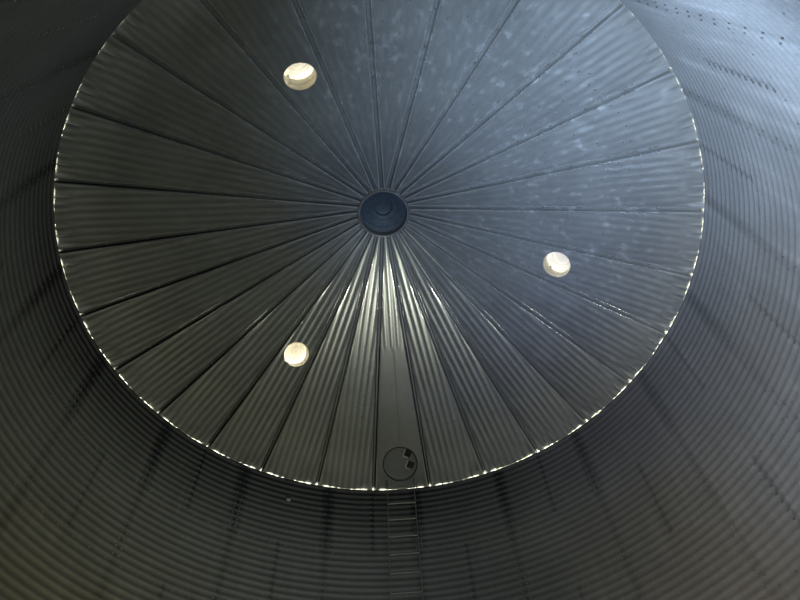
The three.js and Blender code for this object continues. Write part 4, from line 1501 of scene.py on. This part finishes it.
@dataclass
class Hatch(Assembly):
    """The round hatch low on the roof: its curb, its hinged lid and what the lid carries."""

    out: float = 3.744
    radius: float = 0.295
    sheet: float = 0.0025
    rise: float = 0.095
    flange: float = 0.345
    lift: float = 0.100
    skirt: float = 0.025
    lid_inner: float = 0.3065
    hinge_x: float = 0.340
    hinge_z: float = 0.072
    hinge_spacing: float = 0.100
    seat: float = 0.0106
    screws: int = 16
    screw_out: float = 0.033
    bead: float = 0.25
    handle_x: float = -0.226
    latch_spots: Sequence[Range] = ((0.145, -0.150), (0.175, 0.050))
    latch_lift: float = 0.060
    latch_turn: float = 26.0

    @property
    def place(self) -> Matrix:
        """The frame of the hatch's middle on the roof."""
        return self.silo.on_roof(self.silo.hatch_az, self.out)

    def curb(self) -> Body:
        """Makes the curb with its rolled edge, its flange and the fixed leaves of the hinges."""
        r, t, seat, rise = self.radius, self.sheet, self.seat, self.rise
        outline = [(r, 0.001), (r + t, 0.001), (r + t, seat), (self.flange, seat), (self.flange, seat + t),
                   (r + t, seat + t), (r + t, rise - 0.006), (r + 0.005, rise - 0.004), (r + 0.004, rise),
                   (r, rise)]
        body = Body().turned(outline, 96, self.place)
        screw = Fastener(across=0.007, washer=0.010).upright(1)
        body.copies(screw, around(self.place, self.screws, (r + self.screw_out, 0, seat + t), 0.5))
        x, z = self.hinge_x, self.hinge_z
        ear = [(r - 0.018, 0.030), (x - 0.014, 0.030), (x + 0.010, z - 0.011), (x + 0.012, z),
               (x + 0.007, z + 0.010), (x - 0.002, z + 0.012), (x - 0.010, z + 0.006), (x - 0.016, z - 0.004),
               (r - 0.018, z - 0.004)]
        for side in (-1, 1):
            middle = side * self.hinge_spacing
            for way in (-1, 1):
                self.leaf(body, ear, middle + way * 0.015, 0.006)
            tips = [self.place @ Vector((x, middle + way * 0.024, z)) for way in (-1, 1)]
            body.rod(tips[0], tips[1], 0.0048, 16)
        return body

    def leaf(self, body: Body, outline: Outline, across: float, thick: float) -> None:
        """Adds a flat leaf to a body: an outline of [x, z] points, thick along the slope."""
        turn = Matrix(((1, 0, 0, 0), (0, 0, -1, across + thick / 2), (0, 1, 0, 0), (0, 0, 0, 1)))
        body.prism(outline, thick, self.place @ turn)

    def lid(self) -> Body:
        """Makes the lid: a pressed plate with a skirt, two hinge arms, a grab handle and a hasp."""
        inner, low = self.lid_inner, self.lift
        outer = inner + 0.003
        top = low + 0.003
        radii = [float(r) for r in np.linspace(0, inner - 0.004, 40)]

        def crown(r: float) -> float:
            """Gives the height of the plate's upper face at a radius."""
            return top + 0.007 * (1 - (r / inner) ** 2) + pressed(r, [self.bead], 0.004, 0.008)

        under = [(r, crown(r) - 0.0025) for r in radii]
        upper = [(r, crown(r)) for r in radii[::-1]]
        edge = [(inner, low - 0.002), (inner, low - self.skirt), (outer, low - self.skirt), (outer, low),
                (outer - 0.003, top)]
        body = Body().turned(under + edge + upper, 96, self.place)
        x, z = self.hinge_x, self.hinge_z
        arm = [(inner - 0.055, low + 0.006), (inner - 0.006, low + 0.003), (x - 0.010, z - 0.002),
               (x - 0.006, z - 0.011), (x + 0.006, z - 0.011), (x + 0.011, z - 0.002), (x + 0.008, z + 0.009),
               (x - 0.012, low + 0.009), (inner - 0.055, low + 0.013)]
        for side in (-1, 1):
            self.leaf(body, arm, side * self.hinge_spacing, 0.008)
        grip = top + 0.043
        half = [(0.05, top + 0.002), (0.05, grip - 0.012), (0.046, grip - 0.003), (0.036, grip)]
        bend = [(-y, up) for y, up in half] + half[::-1]
        body.pipe([self.place @ Vector((self.handle_x, y, up)) for y, up in bend], 0.006, 12)
        hasp = (-outer - 0.006, -0.018, low - self.skirt - 0.01)
        body.block(hasp, (-outer + 0.001, 0.018, top - 0.001), self.place)
        return body

    @property
    def latch_places(self) -> list[Matrix]:
        """The frames of the two latches under the right half of the lid."""
        turn = Matrix.Rotation(math.radians(self.latch_turn), 4, "Z")
        return [self.place @ Matrix.Translation((x, y, self.latch_lift)) @ turn for x, y in self.latch_spots]

    def latches(self) -> Body:
        """Makes the two dark square latch housings."""
        body = Body()
        for spot in self.latch_places:
            body.block((-0.052, -0.052, 0.004), (0.052, 0.052, 0.042), spot)
        return body

    def latch_rims(self) -> Body:
        """Makes the light folded edge along two sides of each housing."""
        body = Body()
        for spot in self.latch_places:
            body.block((-0.076, -0.050, -0.004), (-0.062, 0.080, 0.044), spot)
            body.block((-0.062, 0.066, -0.004), (0.020, 0.080, 0.044), spot)
        return body

    def seal(self) -> Body:
        """Makes the rubber ring inside the foot of the curb."""
        inner, outer = self.radius - 0.016, self.radius - 0.001
        outline = [(inner, -0.002), (outer, -0.002), (outer, 0.010), (inner, 0.010)]
        return Body().turned(outline, 96, self.place)

    def build(self) -> None:
        """Makes the hatch's pieces."""
        lid = BodyName.LID
        self.shop.piece("hatch_curb_ring", self.curb(), HATCH, "hatch", ["hatch_curb"])
        self.shop.piece("hatch_lid_plate", self.lid(), HATCH, "hatch", ["hatch_lid"], lid, crease=40)
        self.shop.piece("hatch_latch_housings", self.latches(), RUBBER, "hatch", rides=lid)
        self.shop.piece("hatch_latch_edges", self.latch_rims(), PALE, "hatch", rides=lid)
        self.shop.piece("hatch_seal", self.seal(), RUBBER, "hatch")


@dataclass
class Ladder(Assembly):
    """A ladder on the +Y side: two flat stiles, round rungs and the brackets to the wall."""

    name: str
    out: float
    low: float
    high: float
    first_rung: float
    last_rung: float
    brackets: Sequence[float]
    middle: float = -0.017
    half: float = 0.220
    stile_thick: float = 0.006
    stile_depth: float = 0.038
    stile_fold: float = 0.026
    stile_lip: float = 0.004
    rung: float = 0.0125
    step: float = 0.3048
    bracket_half: float = 0.019
    bracket_thick: float = 0.006
    bracket_toe: float = 0.034

    def body(self) -> Body:
        """Makes the whole ladder."""
        body = Body()
        seat, out = self.silo.radius, self.out
        deep, thick, tall = self.stile_depth / 2, self.stile_thick / 2, self.bracket_half
        wall = seat - 0.010 if out < seat else seat - 0.001
        near, far = sorted((out, seat - 0.006))
        for side in (-1, 1):
            x = self.middle + side * self.half
            body.block((x - thick, out - deep, self.low), (x + thick, out + deep, self.high))
            fold = sorted((x, x + self.stile_fold / 2 * side))
            for way in (-1, 1):
                lip = sorted((out + way * deep, out + way * (deep - self.stile_lip)))
                body.block((fold[0], lip[0], self.low), (fold[1], lip[1], self.high))
            toe = sorted((x, x + side * self.bracket_toe))
            arm = self.bracket_thick / 2
            for z in self.brackets:
                body.block((x - arm, near, z - tall), (x + arm, far, z + tall))
                body.block((toe[0], wall, z - tall), (toe[1], wall + 0.004, z + tall))
        z = self.first_rung
        while z > self.last_rung:
            ends = [(self.middle + side * self.half, out, z) for side in (-1, 1)]
            body.rod(ends[0], ends[1], self.rung, 12)
            for side in (-1, 1):
                x = self.middle + side * (self.half + thick)
                body.rod((x, out, z), (x + side * 0.003, out, z), self.rung * 1.25, 12)
            z -= self.step
        return body

    def build(self) -> None:
        """Makes the ladder's piece."""
        self.shop.piece(f"{self.name}_rungs", self.body(), LADDER, "ladder", [self.name], crease=30)


def build_ladders(silo: Bin, shop: Workshop) -> None:
    """Builds the ladder inside, which stops under the roof, and the one outside, which passes the eave."""
    standoff, rung, top = 0.150, Ladder.step, silo.eave - 0.102
    brackets = [top - n * rung for n in (1.5, 7.5, 13.5, 19.5, 23.5)]
    under_roof = float(silo.underside(silo.radius - 0.131)) - 0.008
    out = silo.radius - standoff
    Ladder(silo, shop, "inside_ladder", out, 0.330, under_roof, top, 0.380, brackets).build()
    top += 2 * rung
    brackets = [top - n * rung for n in (3.5, 9.5, 15.5, 21.5)]
    over_eave, out = silo.eave + 0.700, silo.radius + standoff
    Ladder(silo, shop, "outside_ladder", out, 0.620, over_eave, top, 0.700, brackets).build()


@dataclass
class Doorway(Assembly):
    """The walk-in door: a frame through the wall and a ribbed leaf shut against it."""

    azimuth: float = -83.0
    width: float = 0.760
    height: float = 1.600
    sill: float = 0.330
    frame: float = 0.050
    inner: float = 4.070
    outer: float = 4.180
    leaf: float = 0.028
    leaf_lap: float = 0.040
    leaf_sheet: float = 0.003
    ribs: int = 5
    hinge_in: float = 0.25

    def surround(self) -> Body:
        """Makes the frame: a deep box round the opening with a lip on both faces of the wall."""
        half, low, top = self.width / 2, self.sill, self.sill + self.height
        body = Body()
        place = facing(self.azimuth)

        def rectangle(inside: float, outside: float, near: float, far: float) -> None:
            """Adds four bars round the opening, which fill the space between two distances from it."""
            for x0, x1, z0, z1 in (
                (-half - outside, -half - inside, low - outside, top + outside),
                (half + inside, half + outside, low - outside, top + outside),
                (-half - inside, half + inside, low - outside, low - inside),
                (-half - inside, half + inside, top + inside, top + outside),
            ):
                body.block((x0, near, z0), (x1, far, z1), place)

        rectangle(0.0, 0.004, self.inner, self.outer)
        rectangle(0.004, self.frame, self.inner, self.inner + 0.004)
        rectangle(0.004, self.frame + 0.012, self.outer - 0.012, self.outer)
        rectangle(self.frame - 0.004, self.frame, self.inner + 0.004, self.outer - 0.012)
        return body

    def panel(self) -> Body:
        """Makes the leaf: a folded sheet with pressed ribs, hinges and two latch bars."""
        lap, sheet = self.leaf_lap, self.leaf_sheet
        half, low, high = self.width / 2 + lap, self.sill - lap, self.sill + self.height + lap
        face = self.outer + 0.0004
        front = face + self.leaf
        place = facing(self.azimuth)
        body = Body()
        body.block((-half, front - sheet, low), (half, front, high), place)
        for x0, x1, z0, z1 in (
            (-half, -half + sheet, low, high),
            (half - sheet, half, low, high),
            (-half, half, low, low + sheet),
            (-half, half, high - sheet, high),
        ):
            body.block((x0, face, z0), (x1, front, z1), place)
        outline = [(-0.035, 0.0), (0.035, 0.0), (0.024, 0.011), (-0.024, 0.011)]
        for k in range(self.ribs):
            z = low + (k + 0.5) * (high - low) / self.ribs
            turn = Matrix(((0, 0, 1, -half + 0.05), (0, 1, 0, front), (-1, 0, 0, z), (0, 0, 0, 1)))
            body.prism(outline, 2 * half - 0.10, place @ turn)
        for z in (self.sill + self.hinge_in, self.sill + self.height - self.hinge_in):
            spots = [place @ Vector((-half - 0.001, front - 0.006, z + step)) for step in (-0.07, 0.07)]
            body.rod(spots[0], spots[1], 0.011, 16)
            body.block((-half, front, z - 0.045), (-half + 0.09, front + 0.003, z + 0.045), place)
            bar = (half - 0.17, front + 0.012, z - 0.014)
            body.block(bar, (half - 0.004, front + 0.018, z + 0.014), place)
            hub = [place @ Vector((half - 0.15, y, z)) for y in (front, front + 0.019)]
            body.rod(hub[0], hub[1], 0.012, 16)
            body.block((half - 0.035, front, z - 0.03), (half - 0.020, front + 0.012, z + 0.03), place)
        return body

    def build(self) -> None:
        """Makes the door's pieces."""
        self.shop.piece("door_surround", self.surround(), DOOR, "door", ["door_frame"])
        self.shop.piece("door_panel", self.panel(), DOOR, "door", ["door_leaf"])


@dataclass
class LevelSwitch(Assembly):
    """The small fitting high on the wall: a dark plate and body with a pale block below."""

    azimuth: float = 116.2
    drop: float = 0.390
    plate_half: float = 0.042
    plate_tall: float = 0.060
    boss: float = 0.033

    def build(self) -> None:
        """Makes the switch and its pale lower end."""
        inner = self.silo.radius - self.silo.wave_depth / 2
        z = self.silo.eave - self.drop
        place = facing(self.azimuth)
        half, tall, plate = self.plate_half, self.plate_tall, inner - 0.010
        body = Body().block((-half, plate, z - tall), (half, inner - 0.003, z + tall), place)
        spots = [place @ Vector((0, y, z + 0.014)) for y in (inner - 0.008, inner - 0.034, inner - 0.052)]
        body.rod(spots[0], spots[1], self.boss, 24)
        body.rod(spots[1], spots[2], self.boss, 24, tip=0.024)
        head = Fastener(across=0.006, washer=0.008).end(-1)
        corners_at = [(x, up) for x in (-0.033, 0.033) for up in (-0.05, 0.05)]
        body.copies(head, [place @ Matrix.Translation((x, plate, z + up)) for x, up in corners_at])
        self.shop.piece("level_switch_body", body, SWITCH, "switch", ["level_switch"])
        low = Body().block((-0.030, inner - 0.044, z - 0.058), (0.030, inner - 0.008, z - 0.032), place)
        self.shop.piece("level_switch_foot", low, PALE, "switch")


@dataclass(frozen=True)
class Lamp:
    """A soft rectangular lamp that the camera doesn't see.

    It has a width and height, watts and a colour, and shines into a cone of so many degrees. Gloss says
    whether it shows in reflections, and diffuse whether it lights dull surfaces.
    """

    name: str
    size: Range
    power: float
    colour: Colour
    spread: float = 100.0
    gloss: bool = False
    diffuse: bool = True

    def hang(self, place: Matrix) -> None:
        """Hangs the lamp at a place, along whose -Z it shines."""
        data = bpy.data.lights.new(self.name, "AREA")
        data.shape = "RECTANGLE"
        data.size, data.size_y = self.size
        data.energy, data.color = self.power, self.colour
        data.spread = math.radians(self.spread)
        lamp = bpy.data.objects.new(self.name, data)
        lamp.matrix_world = place
        lamp.visible_camera = False
        lamp.visible_glossy = self.gloss
        lamp.visible_diffuse = self.diffuse
        bpy.context.collection.objects.link(lamp)


# Each lamp in the room has its place, the point that it faces and the lamp itself.
ROOM_LAMPS = (
    ((0.5, -3.65, 0.95), (0.05, 1.40, 9.35), Lamp("doorway", (0.7, 0.76), 33, (1.0, 1.0, 0.90), gloss=True)),
    ((1.2, -1.8, 4.5), (2.4, -3.4, 5.6), Lamp("corner", (1.2, 1.2), 166, (0.49, 0.64, 1.0), 140)),
    ((1.2, -0.6, 3.8), (4.0, -1.0, 5.6), Lamp("right_wall", (1.5, 1.5), 55, (0.63, 0.71, 1.0))),
    ((1.0, 1.0, 2.8), (3.8, 1.6, 5.0), Lamp("low_right_wall", (1.5, 1.5), 18, (1.0, 0.85, 0.81))),
    ((-0.8, 0.8, 1.2), (-3.6, 2.0, 4.3), Lamp("left_wall", (1.5, 1.5), 18, (1.0, 0.82, 0.25))),
    ((0.8, -0.8, 5.0), (2.2, -1.6, 9.0), Lamp("right_roof", (1.5, 1.5), 101, (0.45, 0.61, 1.0))),
    ((0.8, 0.8, 5.0), (2.4, 1.0, 9.0), Lamp("low_right_roof", (1.5, 1.5), 13, (0.27, 0.33, 1.0))),
    ((0.2, 2.3, 0.03), (0.2, 2.3, 5), Lamp("far_card", (1.0, 2.6), 4, (1.0, 0.98, 0.68), 180, True, False)),
    ((0.2, -1.9, 0.03), (0.2, -1.9, 5), Lamp("near_card", (1, 2.8), 4, (1.0, 0.92, 0.65), 180, True, False)),
)


@dataclass
class Studio(Assembly):
    """The camera at the photograph's place, the floor and the soft light."""

    position: Point = (0.0717, -3.9941, 1.0795)
    tilt: float = 32.601
    roll: float = 4.697
    turn: float = -1.13
    lens: float = 26.70
    floor_radius: float = 70.0
    vent_spot: Point = (0, -0.262, 0.192)
    vent_tilt: float = 152.0
    vent_size: Range = (0.34, 0.05)
    vent_power: Sequence[float] = (1.25, 0.65, 0.9)
    sunny_side: Range = (-0.42, 0.91)
    sunny_gain: float = 0.7
    eave_out: float = 0.012
    eave_drop: float = 0.050
    eave_width: float = 0.02
    eave_tilt: float = 176.0
    eave_power: float = 6.0
    eave_spread: float = 52.0

    def camera(self) -> None:
        """Sets the camera, which looks up steeply from just inside the wall."""
        tilt, roll = math.radians(self.tilt), math.radians(self.roll)
        ahead = Vector((0, math.sin(tilt), math.cos(tilt)))
        level, fall = Vector((1, 0, 0)), Vector((0, math.cos(tilt), -math.sin(tilt)))
        right = level * math.cos(roll) + fall * math.sin(roll)
        down = fall * math.cos(roll) - level * math.sin(roll)
        view = Matrix.Rotation(math.radians(self.turn), 4, "Z") @ frame_of(right, -down, -ahead, (0, 0, 0))
        view.translation = Vector(self.position)
        data = bpy.data.cameras.new("camera")
        data.lens, data.sensor_width = self.lens, 36.0
        data.clip_start, data.clip_end = 0.02, 400.0
        camera = bpy.data.objects.new("camera", data)
        camera.matrix_world = view
        bpy.context.collection.objects.link(camera)
        bpy.context.scene.camera = camera

    def floor(self) -> None:
        """Makes the plain pale floor."""
        turns = np.linspace(0, 2 * math.pi, 97)[:-1]
        outline = [(self.floor_radius * math.cos(a), self.floor_radius * math.sin(a)) for a in turns]
        body = Body().prism(outline, 0.05, Matrix.Translation((0, 0, -0.0505)))
        floor = bpy.data.objects.new("floor", body.mesh("floor"))
        floor.data.materials.append(self.shop.dress(STUDIO))
        bpy.context.collection.objects.link(floor)

    def sky(self) -> None:
        """Lights the outside evenly."""
        world = bpy.data.worlds.new("studio")
        world.use_nodes = True
        background = world.node_tree.nodes["Background"]
        background.inputs["Color"].default_value = (0.93, 0.96, 1.0, 1.0)
        background.inputs["Strength"].default_value = 1.0
        bpy.context.scene.world = world
        bpy.context.scene.view_settings.view_transform = "Standard"

    def room_lamps(self) -> None:
        """Lights the inside of the bin, as from its doorway."""
        for spot, aim, lamp in ROOM_LAMPS:
            turn = (Vector(spot) - Vector(aim)).to_track_quat("Z", "Y")
            lamp.hang(Matrix.LocRotScale(Vector(spot), turn, None))

    def vent_lamps(self) -> None:
        """Lights the underside of each vent's hood, as the daylight through the gap below its rim does."""
        tilt = Matrix.Rotation(math.radians(self.vent_tilt), 4, "X")
        for number, (azimuth, out) in enumerate(Roof.vents, 1):
            middle = self.silo.on_roof(azimuth, out)
            for k, spot in enumerate(around(middle, 4, self.vent_spot)):
                side = spot.translation.xy - middle.translation.xy
                sunny = side.normalized().dot(Vector(self.sunny_side))
                power = self.vent_power[number - 1] * (1.0 + self.sunny_gain * sunny)
                name = f"vent_light_{number}_{90 * k}"
                Lamp(name, self.vent_size, power, (1.0, 0.95, 0.80), 180).hang(spot @ tilt)

    def eave_lamps(self) -> None:
        """Lights the strip of roof just outside the wall, which shows through the gaps as daylight does."""
        silo = self.silo
        out = silo.wall_out + self.eave_out
        size = (2 * math.pi * out / silo.panels, self.eave_width)
        tilt = Matrix.Rotation(math.radians(self.eave_tilt), 4, "X")
        for k in range(silo.panels):
            place = facing(silo.hatch_az + k * 360 / silo.panels, out, silo.eave - self.eave_drop)
            lamp = Lamp(f"eave_light_{k + 1}", size, self.eave_power, (1.0, 0.97, 0.80), self.eave_spread)
            lamp.hang(place @ tilt)

    def build(self) -> None:
        """Makes the camera, the floor and the lights."""
        self.camera()
        self.floor()
        self.sky()
        self.room_lamps()
        self.vent_lamps()
        self.eave_lamps()


def main() -> None:
    """Builds every sub-assembly in order."""
    logging.basicConfig(level=logging.INFO, format="%(name)s %(message)s")
    silo = Bin(eave=float(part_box("wall_bay_1")[1][2]))
    shop = Workshop(silo)
    for assembly in (Studio, Wall, Posts, Roof, Peak):
        assembly(silo, shop).build()
    for number, (azimuth, out) in enumerate(Roof.vents, 1):
        Vent(silo, shop, number, azimuth, out).build()
    Hatch(silo, shop).build()
    build_ladders(silo, shop)
    for assembly in (Doorway, LevelSwitch):
        assembly(silo, shop).build()


if __name__ == "__main__":
    main()
